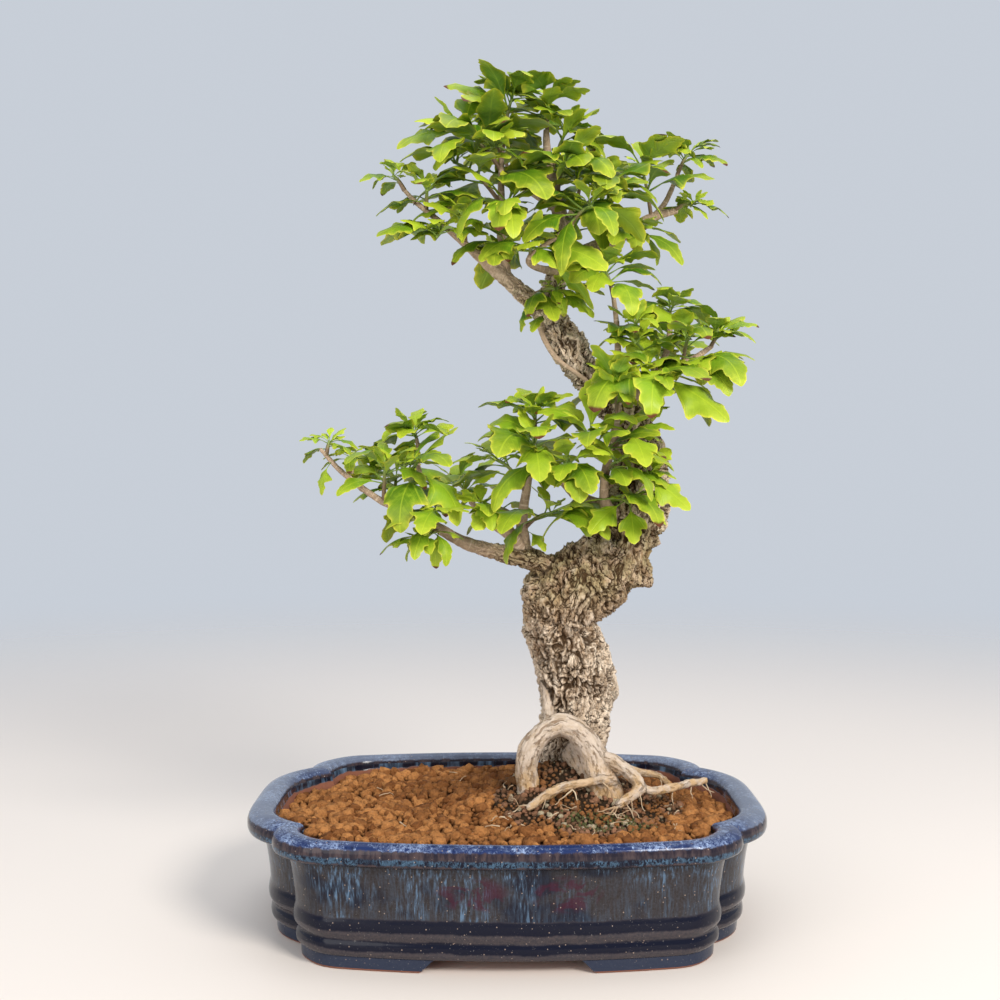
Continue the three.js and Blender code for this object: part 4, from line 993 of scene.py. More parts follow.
def bark_material(settings):
    """Pale craggy bark with dark fissures on the old trunk, smooth brown skin on twigs and beige on roots."""
    finish = Finish("craggy_bark", 0.88, 0.15)
    along = finish.attribute("bark_place", "Vector")
    place = finish.place
    _, _, z = place.split()
    height = z * TO_MM
    craggy, hollow, rooty = (finish.attribute(name) for name in ("craggy", "crack", "rooty"))
    fissures, short, small = bark_cracks(along)
    grit = finish.grit(560.0, along)
    streaks = along.stretched(0.4).noise(380.0, 5.0, 0.72)
    patches = along.noise(75.0, 4.0, 0.62)
    # Painted shade: a darker band at the height of the fork
    shaded = height.between(*FORK, 8.0) * 0.6
    low = height.ramp(*CROWN_FADE)

    # Old bark, with painted shade at the fork, painted light on the lower trunk, and greener where the trunk
    # forks
    old = streaks.ramp(0.30, 0.62).mix(settings.grey, settings.pale)
    old = (patches.ramp(0.46, 0.72) * 0.45).mix(old, (0.40, 0.27, 0.16))
    old = shaded.mix(old, (0.36, 0.23, 0.12))
    # Painted light: the bark is paler low on the trunk, below 160 mm
    old = (height.ramp(160.0, 120.0) * 0.4).mix(old, (0.92, 0.77, 0.61))
    bloom = patches.ramp(0.36, 0.56) * height.ramp(160.0, 182.0) * height.ramp(285.0, 225.0)
    old = (bloom * 0.45).mix(old, settings.moss)

    # Young wood with rings, and bare roots with dashes and soil stains
    rings = (along * (0.35, 0.35, 2.4)).noise(260.0, 3.0, 0.6)
    twig = streaks.ramp(0.3, 0.7).mix(settings.twig, dimmed(settings.twig, 1.5))
    twig = (rings.ramp(0.54, 0.66) * 0.5).mix(twig, settings.pale)
    root = patches.ramp(0.35, 0.65).mix(settings.root, (0.46, 0.34, 0.23))
    root = (streaks.ramp(0.30, 0.60) * 0.85).mix(root, (0.67, 0.56, 0.46))
    dashes = along.stretched(0.34).noise(480.0, 4.0, 0.7).ramp(0.53, 0.61)
    root = (dashes * 0.65).mix(root, (0.19, 0.11, 0.055))
    stain = place.noise(110.0, 4.0, 0.6).ramp(0.38, 0.58) * height.ramp(92.0, 72.0)
    root = (stain * 0.6).mix(root, (0.58, 0.33, 0.10))
    skin = rooty.mix(craggy.ramp(0.05, 0.45).mix(twig, old), root)

    # Cracks, torn patches, painted shade at the fork, painted shade in the hollows of the relief and painted
    # highlight on its knobs
    rough = craggy.ramp(0.08, 0.5)
    broken = along.noise(120.0, 3.0, 0.6).ramp(0.34, 0.58) * 0.85 + 0.15
    # Torn patches, with painted shade at the fork, where they are at least 0.6
    torn_and_fork_shade = place.noise(42.0, 3.0, 0.6).ramp(0.40, 0.60).max(shaded) * (low * 0.8 + 0.2)
    narrow = 1.35 - torn_and_fork_shade * 0.75
    lines = (fissures * narrow).ramp(0.042, 0.006).max((short * narrow).ramp(0.034, 0.004) * broken) * rough
    skin = (torn_and_fork_shade * rough * streaks.ramp(0.62, 0.42) * 0.6).mix(skin, (0.25, 0.15, 0.075))
    relief = finish.attribute("relief")
    # Painted shade in the hollows of the relief, stronger low on the trunk
    skin = (relief.ramp(0.0, -3.2) * (low * 0.4 + 0.35)).mix(skin, (0.21, 0.12, 0.06))
    # Painted highlight on the raised knobs of the relief
    skin = (relief.ramp(0.8, 3.4) * 0.55).mix(skin, (0.88, 0.75, 0.61))
    skin = (lines.max(hollow.ramp(0.5, 1.0) * craggy * 0.6) * 0.93).mix(skin, settings.crack)
    fine_cracks = small.ramp(0.035, 0.006) * craggy.ramp(0.0, 0.5)
    skin = (fine_cracks * 0.45).mix(skin, settings.crack)
    grain = grit * 0.6 + streaks - fine_cracks * 0.5 - lines * 0.8 - dashes * rooty * 0.6
    return finish.done(skin, grain, 0.9, 0.0009)


def root_hair_material():
    finish = Finish("root_hair", 0.8)
    grit = finish.grit(400.0)
    tint = grit.of("Patches").ramp(0.3, 0.7).mix((0.62, 0.50, 0.34), (0.34, 0.2, 0.1))
    return finish.done(tint, grit, 0.4, 0.0003)


def leaf_material(settings):
    """A soft green blade with pale veins and a yellow margin. Its UV map is the place along and across it."""
    finish = Finish("lobed_leaf", 0.42, 0.2)
    lime = settings.lime
    along, across, _ = add(finish.tree, "ShaderNodeUVMap", uv_map="blade").split()
    across = (across - 0.5).abs()
    tone, young, margin, under, dry = (
        finish.attribute(name) for name in ("tone", "young", "margin", "under", "dry")
    )
    patches = finish.place.noise(150.0, 4.0, 0.6)
    _, _, height = finish.place.split()
    ripe = tone * 0.9 + patches * 0.5 - 0.25 - height.ramp(0.28, 0.36) * 0.15
    blade = ripe.ramp(0.0, 0.9).mix(settings.deep, settings.mid)
    blade = (young * 0.7).mix(blade, lime)
    blade = (patches.ramp(0.5, 0.8) * 0.35).mix(blade, lime)
    blade = (along.ramp(0.35, 1.1) * (patches * 0.8 + 0.1)).mix(blade, (0.50, 0.54, 0.035))
    edge = margin.power(5.5) * (0.35 + patches.ramp(0.35, 0.7))
    blade = edge.min(0.8).mix(blade, settings.margin)
    side = (across - along * 0.62).abs().ramp(0.020, 0.006) * along.ramp(0.6, 0.5)
    feather = (((along - across * 1.25) * 8.5).math("FRACT") - 0.5).abs().ramp(0.055, 0.015) * 0.5
    veins = across.ramp(0.017, 0.006).max(side).max(feather)
    blade = (veins * 0.32).mix(blade, lime)
    blade = (dry.ramp(0.74, 0.8) * (along + patches * 0.1).ramp(0.95, 0.99)).mix(blade, settings.dry)
    blade = (under * 0.45).mix(blade, (0.25, 0.40, 0.09))
    blade = along.ramp(0.012, -0.012).mix(blade, settings.stalk)
    finish.feed("Roughness", patches * 0.2 + 0.32)
    return finish.done(blade, patches * 0.5 - veins * 0.6, 0.45, 0.0005)


def stem_material(settings):
    """Soft stems, brown at the foot and green towards the tip."""
    finish = Finish("leafy_stem", 0.6)
    grit = finish.grit(300.0)
    tint = finish.attribute("ripe").ramp(0.25, 0.85).mix((0.24, 0.15, 0.09), settings.stalk)
    return finish.done((grit.of("Patches") * 0.4).mix(tint, (0.14, 0.12, 0.05)), grit, 0.3, 0.0003)


# Pot


def lobe_arc(start, end, lobe):
    bulge, fullness, steps = lobe
    start = np.array(start)
    chord = np.array(end) - start
    out = np.array((chord[1], -chord[0])) / np.hypot(*chord)
    points = []
    for i in range(steps):
        across = math.cos(math.pi * i / steps)
        points.append(start + chord * (1 - across) / 2 + out * bulge * (1 - abs(across) ** fullness))
    return points


def pot_plan(spread):
    """The pot's outline in plan, counterclockwise. Spread 0 is its foot and 1 its rim's edge."""
    settings = bpy.context.scene.bonsai_pot
    half_length = settings.length / MM / 2
    half_width = settings.width / MM / 2
    end_x = mix(half_length - END_TAPER, half_length, spread) - END_LOBE[0]
    end_y = mix(*END_CREASE, spread)
    side_x = mix(*SIDE_CREASE, spread)
    side_y = mix(half_width - SIDE_TAPER, half_width, spread) - SIDE_LOBE[0]
    corners = (
        ((end_x, -end_y), END_LOBE), ((end_x, end_y), CORNER_LOBE),
        ((side_x, side_y), SIDE_LOBE), ((-side_x, side_y), CORNER_LOBE),
        ((-end_x, end_y), END_LOBE), ((-end_x, -end_y), CORNER_LOBE),
        ((-side_x, -side_y), SIDE_LOBE), ((side_x, -side_y), CORNER_LOBE),
    )
    points = []
    for (start, lobe), (end, _) in zip(corners, corners[1:] + corners[:1]):
        points.extend(lobe_arc(start, end, lobe))
    return np.array(points)


def level_ring(plan, z):
    return np.column_stack((plan, np.full(len(plan), z))) * MM


def pot_rows():
    """The profile's rows, smoothed between its sharp turns."""
    rows = []
    run = [POT_PROFILE[0]]
    for row in POT_PROFILE[1:]:
        run.append(row)
        if not row[2]:
            continue
        curve = [np.array(r[:2]) for r in run]
        if len(run) > 2:
            curve = catmull(curve, PROFILE_STEPS)
        rows.extend(curve if not rows else curve[1:])
        run = [row]
    return [(min(spread, 1.0), min(z, POT_TOP)) for spread, z in rows]


def cutout_prism(side_x, side_y, half_top, half_bottom):
    """The gap between two feet, with sides that curve up into the foot's lower edge."""
    steps = 7
    outline = [(-half_bottom - 2, -1.0)]
    for i in range(steps + 1):
        t = i / steps
        outline.append((-mix(half_bottom, half_top, t), FLOOR_UNDERSIDE * t * t * (3 - 2 * t)))
    outline += [(-u, z) for u, z in reversed(outline)]
    verts = []
    for reach in CUTTER_REACH["end" if side_x else "side"]:
        for u, z in outline:
            x = side_x * reach + abs(side_y) * u
            y = side_y * reach + abs(side_x) * u
            verts.append((x * MM, y * MM, z * MM))
    count = len(outline)
    faces = [tuple(range(count)), tuple(reversed(range(count, 2 * count)))]
    faces += lofted_faces(2, count)
    return verts, faces


def drain_cylinder(x):
    turns = np.linspace(0, 2 * math.pi, 40, endpoint=False)
    circle = np.column_stack((x + DRAIN_RADIUS * np.cos(turns), DRAIN_RADIUS * np.sin(turns)))
    return closed_loft([level_ring(circle, z) for z in DRAIN_CUTTER])


def merged(parts):
    """Several lists of vertices and faces as one."""
    verts, faces = [], []
    for some_verts, some_faces in parts:
        faces += [tuple(i + len(verts) for i in face) for face in some_faces]
        verts += list(some_verts)
    return verts, faces


def make_pot():
    settings = bpy.context.scene.bonsai_pot
    rows = pot_rows()
    verts, faces = closed_loft([level_ring(pot_plan(spread), z) for spread, z in rows])
    mesh = outward(mesh_from("pot_shell", verts, faces))
    cutters = [cutout_prism(*cutout) for cutout in CUTOUTS] + [drain_cylinder(x) for x in (-DRAIN_X, DRAIN_X)]
    cutter_mesh = outward(mesh_from("pot_cutters", *merged(cutters), smooth=False))
    glaze, clay = glaze_material(settings), raw_clay_material(settings)
    for each in (mesh, cutter_mesh):
        each.materials.append(glaze)
        each.materials.append(clay)
    inside = next(i for i, (spread, z) in enumerate(rows) if z > GLAZE_STOP and spread < 0.05)
    foot = next(i for i, (spread, z) in enumerate(rows) if z > 0.5 and spread >= 0.04)
    sides = len(pot_plan(0))
    ring_faces = (len(rows) - 1) * sides
    for polygon in mesh.polygons:
        row = polygon.index // sides
        is_bare = polygon.index >= ring_faces or row < foot or row >= inside
        polygon.material_index = 1 if is_bare else 0
    for polygon in cutter_mesh.polygons:
        polygon.material_index = 1
    carrier = linked("carrier", mesh)
    cutter = linked("cutter", cutter_mesh)
    modifier = carrier.modifiers.new("feet_and_drains", "BOOLEAN")
    modifier.operation = "DIFFERENCE"
    modifier.solver = "EXACT"
    modifier.object = cutter
    result = evaluated_mesh(carrier, "glazed_pot")
    bpy.data.objects.remove(cutter)
    result.shade_smooth()
    result.set_sharp_from_angle(angle=SHARP_TURN)
    add_piece("glazed_pot", result, "glaze", "pot")


# Drain screens


def finish_screens():
    """The drain screens keep their solids and get a finish."""
    material = plastic_material()
    for name in ("drain_screen_left", "drain_screen_right"):
        mesh = frame["nodes"][name].data
        mesh.materials.clear()
        mesh.materials.append(material)


# Soil


def ground_height(x, y):
    mound_x, mound_y, rise, reach = MOUND
    spread = (x - mound_x) ** 2 + (y - mound_y) ** 2
    front = np.clip(-y / 90, 0, 1)
    return GROUND_LEVEL + rise * np.exp(-spread / (2 * reach * reach)) + FRONT_RISE * front


def old_soil_reach(turn):
    """How far the uneven oval of the old soil reaches in a direction, against its mean radius."""
    sides = 18
    step = turn / (2 * math.pi) * sides
    low = np.floor(step).astype(int)
    values = np.array([1 + 0.07 * (2 * draw(k, 5, 9) - 1) for k in range(sides)])
    return mix(values[low % sides], values[(low + 1) % sides], step - low)


def old_soil_share(x, y):
    """0 at the middle of the old soil and 1 at its edge."""
    centre_x, centre_y, radius_x, radius_y, _ = OLD_SOIL
    u = (x - centre_x) / radius_x
    v = (y - centre_y) / radius_y
    return np.hypot(u, v) / old_soil_reach(np.arctan2(v, u) % (2 * math.pi))


def noise_heights(points, scale, seed):
    return np.array([noise.noise(Vector((x * scale, y * scale, seed))) for x, y in points])


def cavity_plan(z):
    spread = np.interp(z, CAVITY_HEIGHTS, CAVITY_SPREADS) - CAVITY_GAP
    return pot_plan(spread)


def clay_bed():
    """The packed clay under the loose grains, hollowed for the old soil. Density marks where grains lie."""
    rim = cavity_plan(58)
    shares = np.concatenate((np.linspace(1.0, 0.9, 6), np.linspace(0.86, 0.05, 26)))
    rings = [level_ring(cavity_plan(15), 15.0), level_ring(cavity_plan(40), 40.0)]
    density = [np.zeros(len(rim))] * 2
    for part in shares:
        plan = rim * part
        old = old_soil_share(plan[:, 0], plan[:, 1])
        lowered = BED_DEPTH + HOLLOW_DEPTH * smooth_step(1.0, 0.86, old)
        lowered += BACK_DIP * smooth_step(0.76, 0.96, part) * smooth_step(-45, -5, plan[:, 1])
        bumps = 0.8 * noise_heights(plan, 0.16, 3.0)
        height = ground_height(plan[:, 0], plan[:, 1]) - lowered + bumps
        rings.append(np.column_stack((plan, height)) * MM)
        density.append(np.where((old > 0.98) & (part < 0.985), 1.0, 0.0))
    verts, faces = closed_loft(rings)
    mesh = outward(mesh_from("clay_bed", verts, faces))
    set_attribute(mesh, "density", np.concatenate((*density, np.zeros(2))))
    return mesh


def old_soil_bed():
    """The old soil as a plug with a bumpy top. Density marks where gravel lies, mossy where moss grows."""
    centre_x, centre_y, radius_x, radius_y, bottom = OLD_SOIL
    patch_x, patch_y, patch_length, patch_width = MOSS_PATCH
    turns = np.linspace(0, 2 * math.pi, 72, endpoint=False)
    reach = old_soil_reach(turns)
    edge = np.column_stack((radius_x * reach * np.cos(turns), radius_y * reach * np.sin(turns)))
    centre = np.array((centre_x, centre_y))
    rings = [level_ring(centre + edge * 0.97, bottom)]
    density = [np.zeros(len(turns))]
    mossy = [np.zeros(len(turns))]
    for part in np.linspace(1.0, 0.04, 26):
        plan = centre + edge * part
        bumps = 1.3 * noise_heights(plan, 0.12, 8.0)
        height = ground_height(plan[:, 0], plan[:, 1]) - 1.0 + bumps
        rings.append(np.column_stack((plan, height)) * MM)
        density.append(np.ones(len(turns)))
        patch = np.hypot((plan[:, 0] - patch_x) / patch_length, (plan[:, 1] - patch_y) / patch_width)
        mossy.append(smooth_step(1.0, 0.5, patch) * (0.4 + 0.6 * (noise_heights(plan, 0.14, 21.0) > -0.1)))
    verts, faces = closed_loft(rings)
    mesh = outward(mesh_from("old_soil_bed", verts, faces))
    set_attribute(mesh, "density", np.concatenate((*density, np.zeros(2))))
    set_attribute(mesh, "mossy", np.concatenate((*mossy, np.zeros(2))))
    return mesh


def lump_template(name, seed, flatness, roundness):
    """A knobbly irregular grain about two units across, with few faces."""
    shift = Vector((seed * 7.3, 0, 0))
    work = bmesh.new()
    bmesh.ops.create_cube(work, size=1.4)
    bmesh.ops.subdivide_edges(work, edges=work.edges[:], cuts=1, use_grid_fill=True)
    for vert in work.verts:
        direction = vert.co.normalized()
        vert.co = vert.co.lerp(direction, roundness)
        knobs = 0.5 * noise.noise(direction * 1.6 + shift)
        vert.co *= 1 + knobs + 0.35 * noise.noise(direction * 4.1 + shift)
        vert.co.x *= mix(0.75, 1.2, draw(seed, 1, 30))
        vert.co.z *= flatness
    mesh = bpy.data.meshes.new(name)
    work.to_mesh(mesh)
    work.free()
    mesh.shade_smooth()
    return mesh


def tuft_template(name, seed):
    """A tuft of moss: short leaning spikes from one foot."""
    spikes = 7
    verts, faces = [], []
    for i in range(spikes):
        turn = 2 * math.pi * (i + draw(seed, i, 1)) / spikes
        lean = 0.75 * draw(seed, i, 2)
        foot = Vector((0.3 * math.cos(turn), 0.3 * math.sin(turn), -0.2))
        tip = Vector((lean * math.cos(turn), lean * math.sin(turn), 0.9 + 0.5 * draw(seed, i, 3)))
        first = len(verts)
        for k in range(3):
            spin = turn + 2 * math.pi * k / 3
            verts.append(foot + Vector((0.2 * math.cos(spin), 0.2 * math.sin(spin), 0)))
        verts.append(tip)
        faces += [(first + k, first + (k + 1) % 3, first + 3) for k in range(3)]
        faces.append((first + 2, first + 1, first))
    return outward(mesh_from(name, verts, faces))


def shape_collection(name, meshes):
    """A collection of shapes for Geometry Nodes to pick from. It isn't part of the scene."""
    collection = bpy.data.collections.new(name)
    for mesh in meshes:
        collection.objects.link(bpy.data.objects.new(mesh.name, mesh))
    return collection


def drop_collection(collection):
    for item in list(collection.objects):
        bpy.data.objects.remove(item)
    bpy.data.collections.remove(collection)


def scatter_tree():
    """Strews turned shapes over the faces of a bed and keeps the bed under them."""
    tree, inlet = geometry_tree(
        "scatter",
        {
            "Shapes": ("Collection", None), "Density": ("String", "density"), "Spacing": ("Float", 0.004),
            "Smallest": ("Float", 0.002), "Largest": ("Float", 0.003), "Lift": ("Float", 0.001),
            "Tilt": ("Float", math.pi), "Seed": ("Int", 1), "Keep Bed": ("Bool", True),
            "Bed Material": ("Material", None), "Material": ("Material", None),
        },
    )
    feeds = {
        "Mesh": inlet("Geometry"), "Distance Min": inlet("Spacing"), "Density Max": 400000.0,
        "Density Factor": read(tree, inlet("Density")), "Seed": inlet("Seed"),
    }
    points = add(tree, "GeometryNodeDistributePointsOnFaces", feeds, distribute_method="POISSON")
    heave = random_field(tree, -1.0, 1.0, 11) * inlet("Lift") + inlet("Lift") * 0.6
    points = change(points, "SetPosition", Offset=combine(tree, 0.0, 0.0, heave))
    lean, sway = (random_field(tree, -1.0, 1.0, seed) * inlet("Tilt") for seed in (12, 13))
    turn = combine(tree, lean, sway, random_field(tree, -math.pi, math.pi, 14))
    size = random_field(tree, 0.0, 1.0, 15).power(1.6)
    size = inlet("Smallest") + size * (inlet("Largest") - inlet("Smallest"))
    grains = shape_instances(points, inlet, {"Rotation": turn, "Scale": combine(tree, size, size, size)})
    grains = store(grains, "tone", random_field(tree, 0.0, 1.0, 16), "INSTANCE")
    grains = store(grains, "odd", random_field(tree, 0.0, 1.0, 17), "INSTANCE")
    grains = change(grains, "RealizeInstances")
    above = add(tree, "GeometryNodeProximity", {"Geometry": inlet("Geometry")}, out="Distance")
    grains = change(store(grains, "rise", above * TO_MM), "SetMaterial", Material=inlet("Material"))
    bed = change(inlet("Geometry"), "SetMaterial", Material=inlet("Bed Material"))
    feeds = {"Switch": inlet("Keep Bed"), "True": bed}
    bed = add(tree, "GeometryNodeSwitch", feeds, out="Output", input_type="GEOMETRY")
    return close_tree(tree, Geometry=joined(bed, grains))


def scatter(name, bed, shapes, slot, nodes, values):
    """Strews shapes over a bed, as a piece of its own."""
    tree = bpy.data.node_groups.get("scatter") or scatter_tree()
    collection = shape_collection(name + "_shapes", shapes)
    mesh = run_tree(name, bed, tree, {"Shapes": collection, **values})
    drop_collection(collection)
    add_piece(name, mesh, slot, *nodes)


def make_clay_soil():
    settings = bpy.context.scene.bonsai_soil
    shapes = [lump_template(f"grain_{i}", i, 0.86, 0.75) for i in range(9)]
    values = {
        "Spacing": settings.spacing, "Smallest": settings.grain * 0.22, "Largest": settings.grain * 0.72,
        "Lift": 0.0013,
        "Bed Material": earth_material("packed_clay", (0.10, 0.045, 0.02), settings.umber, 300.0),
        "Material": earth_material("fired_clay", settings.umber, settings.ochre, 420.0, 2.2),
    }
    scatter("clay_soil", clay_bed(), shapes, "clay_grains", ["soil"], values)


def make_old_soil():
    settings = bpy.context.scene.bonsai_soil
    shapes = [lump_template(f"gravel_{i}", 20 + i, 0.75, 0.35) for i in range(6)]
    tints = (settings.gravel_pale, SPILT_CLAY)
    values = {
        "Spacing": settings.gravel_spacing, "Smallest": settings.gravel * 0.28,
        "Largest": settings.gravel * 0.8, "Lift": 0.0006, "Seed": 4,
        "Bed Material": earth_material("dark_soil", (0.035, 0.022, 0.012), (0.10, 0.062, 0.035), 500.0),
        "Material": earth_material("gravel", (0.13, 0.075, 0.04), settings.gravel_red, 700.0, 1.0, *tints),
    }
    scatter("old_soil", old_soil_bed(), shapes, "old_soil", ["root_ball"], values)


def make_moss():
    settings = bpy.context.scene.bonsai_soil
    shapes = [tuft_template(f"tuft_{i}", i) for i in range(4)]
    values = {
        "Density": "mossy", "Spacing": settings.tuft * 0.45, "Smallest": settings.tuft * 0.3,
        "Largest": settings.tuft * 0.62, "Lift": 0.0009, "Tilt": 0.35, "Seed": 9, "Keep Bed": False,
        "Material": moss_material(settings),
    }
    scatter("moss", old_soil_bed(), shapes, "old_soil", [], values)


# Wood


def carried_frames(points):
    """Directions along a route, and two side directions that turn as little as they can."""
    steps = np.diff(points, axis=0)
    middles = np.vstack((steps[:1], steps[:-1] + steps[1:], steps[-1:]))
    along = middles / np.linalg.norm(middles, axis=1)[:, None]
    across = np.zeros_like(along)
    side = np.array((0.0, 1.0, 0.0))
    for i, direction in enumerate(along):
        side = side - direction * side.dot(direction)
        side /= np.linalg.norm(side)
        across[i] = side
    return along, across, np.cross(along, across)


def limb_tube(name):
    """A limb as a smooth closed tube, a little uneven."""
    kind, route = LIMBS[name]
    curve = np.array(catmull(route, 4))
    points, radii = curve[:, :3], curve[:, 3]
    _, across, beside = carried_frames(points)
    sides = 14 if kind == "trunk" else 10
    uneven = 0.10 if kind == "trunk" else 0.05
    rings = []
    for i, point in enumerate(points):
        ring = []
        for k in range(sides):
            turn = 2 * math.pi * k / sides
            side = math.cos(turn) * across[i] + math.sin(turn) * beside[i]
            swell = 1 + uneven * 1.6 * noise.noise(Vector(point + side * radii[i]) * 0.07)
            ring.append((point + side * radii[i] * swell) * MM)
        rings.append(ring)
    return closed_loft(rings)


def limb_places(points):
    """For each point on the wood: its place in its limb's frame, how craggy it is and if it is a root."""
    best = np.full(len(points), 1e9)
    place = np.zeros((len(points), 3))
    craggy = np.zeros(len(points))
    rooty = np.zeros(len(points))
    for number, (kind, route) in enumerate(LIMBS.values()):
        rows = np.array(route, dtype=float)
        _, across, beside = carried_frames(rows[:, :3])
        travelled = 0.0
        for i in range(len(rows) - 1):
            a, b = rows[i, :3], rows[i + 1, :3]
            reach = b - a
            size = np.linalg.norm(reach)
            part = np.clip((points - a) @ reach / size**2, 0, 1)
            offset = points - (a + part[:, None] * reach)
            radius = mix(rows[i, 3], rows[i + 1, 3], part)
            score = np.linalg.norm(offset, axis=1) - radius
            near = score < best
            best = np.where(near, score, best)
            u = (offset * mix(across[i], across[i + 1], part[:, None])).sum(axis=1)
            v = (offset * mix(beside[i], beside[i + 1], part[:, None])).sum(axis=1)
            here = np.column_stack((u, v, travelled + part * size + 61.0 * number))
            if kind == "trunk":
                here = points * (1, 1, 0.8)
            place[near] = here[near]
            craggy[near] = ROOT_CRAG if kind == "root" else smooth_step(1.8, 9.5, radius[near])
            rooty[near] = kind == "root"
            travelled += size
    return place * MM, craggy, rooty


def bark_tree():
    """Raises plates of bark with cracks between them, along each limb."""
    sizes = {"Crack Depth": ("Float", 0.002), "Lump Height": ("Float", 0.002)}
    tree, inlet = geometry_tree("bark_relief", {**sizes, "Material": ("Material", None)})
    depth = inlet("Crack Depth")
    place = read(tree, "bark_place", "FLOAT_VECTOR")
    fissures, short, small = bark_cracks(place)
    crack = fissures.ramp(0.070, 0.0).max(short.ramp(0.050, 0.0) * 0.6)
    lumps = place.noise(62.0) - 0.5
    flutes = place.stretched(0.2).noise(80.0, 1.0) - 0.5
    flakes = place.stretched(0.5).noise(260.0, 3.0, 0.7) - 0.5
    rise = (0.25 - crack) * depth + (small.ramp(0.0, 0.12) - 0.6) * depth * 0.3
    rise = rise + (lumps * 3.0 + flutes * 1.2) * inlet("Lump Height") + flakes * 0.0026
    skin = (flakes + flutes * 0.6) * (read(tree, "rooty") * 0.0018 + 0.0004)
    offset = rise * read(tree, "craggy") + skin
    geometry = store(inlet("Geometry"), "crack", crack)
    geometry = store(geometry, "relief", offset * TO_MM)
    normal = add(tree, "GeometryNodeInputNormal")
    geometry = change(geometry, "SetPosition", Offset=normal * offset)
    return close_tree(tree, Geometry=change(geometry, "SetMaterial", Material=inlet("Material")))


def remeshed(mesh, cell):
    """The outer skin of overlapping closed tubes as one even mesh."""
    carrier = linked("carrier", mesh)
    modifier = carrier.modifiers.new("skin", "REMESH")
    modifier.mode = "VOXEL"
    modifier.voxel_size = cell
    modifier.use_smooth_shade = True
    smoothing = carrier.modifiers.new("soften", "SMOOTH")
    smoothing.factor = 0.5
    smoothing.iterations = 2
    return evaluated_mesh(carrier, mesh.name)


def make_wood():
    settings = bpy.context.scene.bonsai_wood
    verts, faces = merged([limb_tube(name) for name in LIMBS])
    mesh = remeshed(outward(mesh_from("wood_tubes", verts, faces)), settings.cell)
    place, craggy, rooty = limb_places(vertex_array(mesh) / MM)
    set_attribute(mesh, "bark_place", place, "FLOAT_VECTOR")
    set_attribute(mesh, "craggy", craggy)
    set_attribute(mesh, "rooty", rooty)
    values = {
        "Crack Depth": settings.crack_depth, "Lump Height": settings.lump,
        "Material": bark_material(settings),
    }
    mesh = run_tree("bonsai_wood", mesh, bark_tree(), values)
    mesh.shade_smooth()
    add_piece("bonsai_wood", mesh, "bark", "wood")


# Roots and fibres


def tube_nodes(tree, inlet, sides, material):
    """Tubes along the edges of the start mesh, as thick as the attribute thickness says."""
    curves = add(tree, "GeometryNodeMeshToCurve", {0: inlet("Geometry")})
    feeds = {"Resolution": sides, "Radius": 1.0}
    circle = add(tree, "GeometryNodeCurvePrimitiveCircle", feeds, mode="RADIUS")
    feeds = {"Curve": curves, "Profile Curve": circle, "Scale": read(tree, "thickness"), "Fill Caps": True}
    tubes = add(tree, "GeometryNodeCurveToMesh", feeds)
    tubes = add(tree, "GeometryNodeSetShadeSmooth", {0: tubes, "Shade Smooth": True})
    return change(tubes, "SetMaterial", Material=inlet(material))


def path_tree():
    """Round tubes along the paths of a mesh of edges. Each point has its radius."""
    tree, inlet = geometry_tree("tubes_on_paths", {"Material": ("Material", None)})
    return close_tree(tree, Geometry=tube_nodes(tree, inlet, 5, "Material"))


def path_mesh(name, paths):
    """Paths in millimetres, each a list of x, y, z and radius, as a mesh of edges."""
    verts, edges, thickness = [], [], []
    for path in paths:
        first = len(verts)
        for x, y, z, radius in path:
            verts.append((x * MM, y * MM, z * MM))
            thickness.append(radius * MM)
        edges += [(first + i, first + i + 1) for i in range(len(path) - 1)]
    mesh = bpy.data.meshes.new(name)
    mesh.from_pydata(verts, edges, [])
    set_attribute(mesh, "thickness", thickness)
    return mesh


# Each rootlet hangs from a place on a root: the place, its heading, its length and its radius at the root.
ROOTLETS = (
    ((34, -39, 75.5), (-0.25, -0.9, -0.55), 15, 0.55), ((33, -39, 75), (0.5, -0.75, -0.45), 14, 0.45),
    ((26, -42, 74), (-0.6, -0.7, -0.3), 9, 0.35), ((12, -46, 68), (-0.95, -0.3, 0.0), 17, 0.5),
    ((57, -46, 67), (-0.75, -0.4, 0.1), 15, 0.6), ((58, -45, 67.5), (-0.5, -0.9, 0.0), 12, 0.5),
    ((60, -44, 69), (0.1, -0.9, -0.3), 13, 0.5), ((63, -42, 71), (0.5, -0.8, -0.4), 11, 0.4),
    ((68, -38, 73), (0.2, -0.9, -0.5), 12, 0.4), ((86, -27, 72.5), (0.1, -0.8, -0.75), 10, 0.45),
    ((97, -19, 72.5), (0.15, -0.9, -0.6), 9, 0.4), ((103, -13, 72.5), (0.3, -0.8, -0.7), 10, 0.45),
    ((106, -11, 72), (0.6, -0.5, -0.8), 9, 0.4), ((83, 0, 71), (0.2, -0.8, -0.9), 9, 0.4),
    ((52, -32, 76), (-0.3, -0.8, -0.5), 10, 0.4), ((20, -43, 72), (-0.2, -0.9, -0.2), 11, 0.4),
    ((48, -34, 78), (0.5, -0.9, -0.3), 16, 0.5), ((57, -46, 66.5), (-0.9, 0.1, 0.1), 20, 0.55),
)

# Loose fibres lie near the tree and over the whole pot, each time in a field from x to x and from y to y.
LOOSE_FIBRES = 34
NEAR_SHARE = 0.7
NEAR_TREE = ((-6, 90), (-72, -26))
WHOLE_POT = ((-105, 105), (-70, 60))
FIBRE_LENGTH = (6, 17)
FIBRE_RADIUS = 0.34


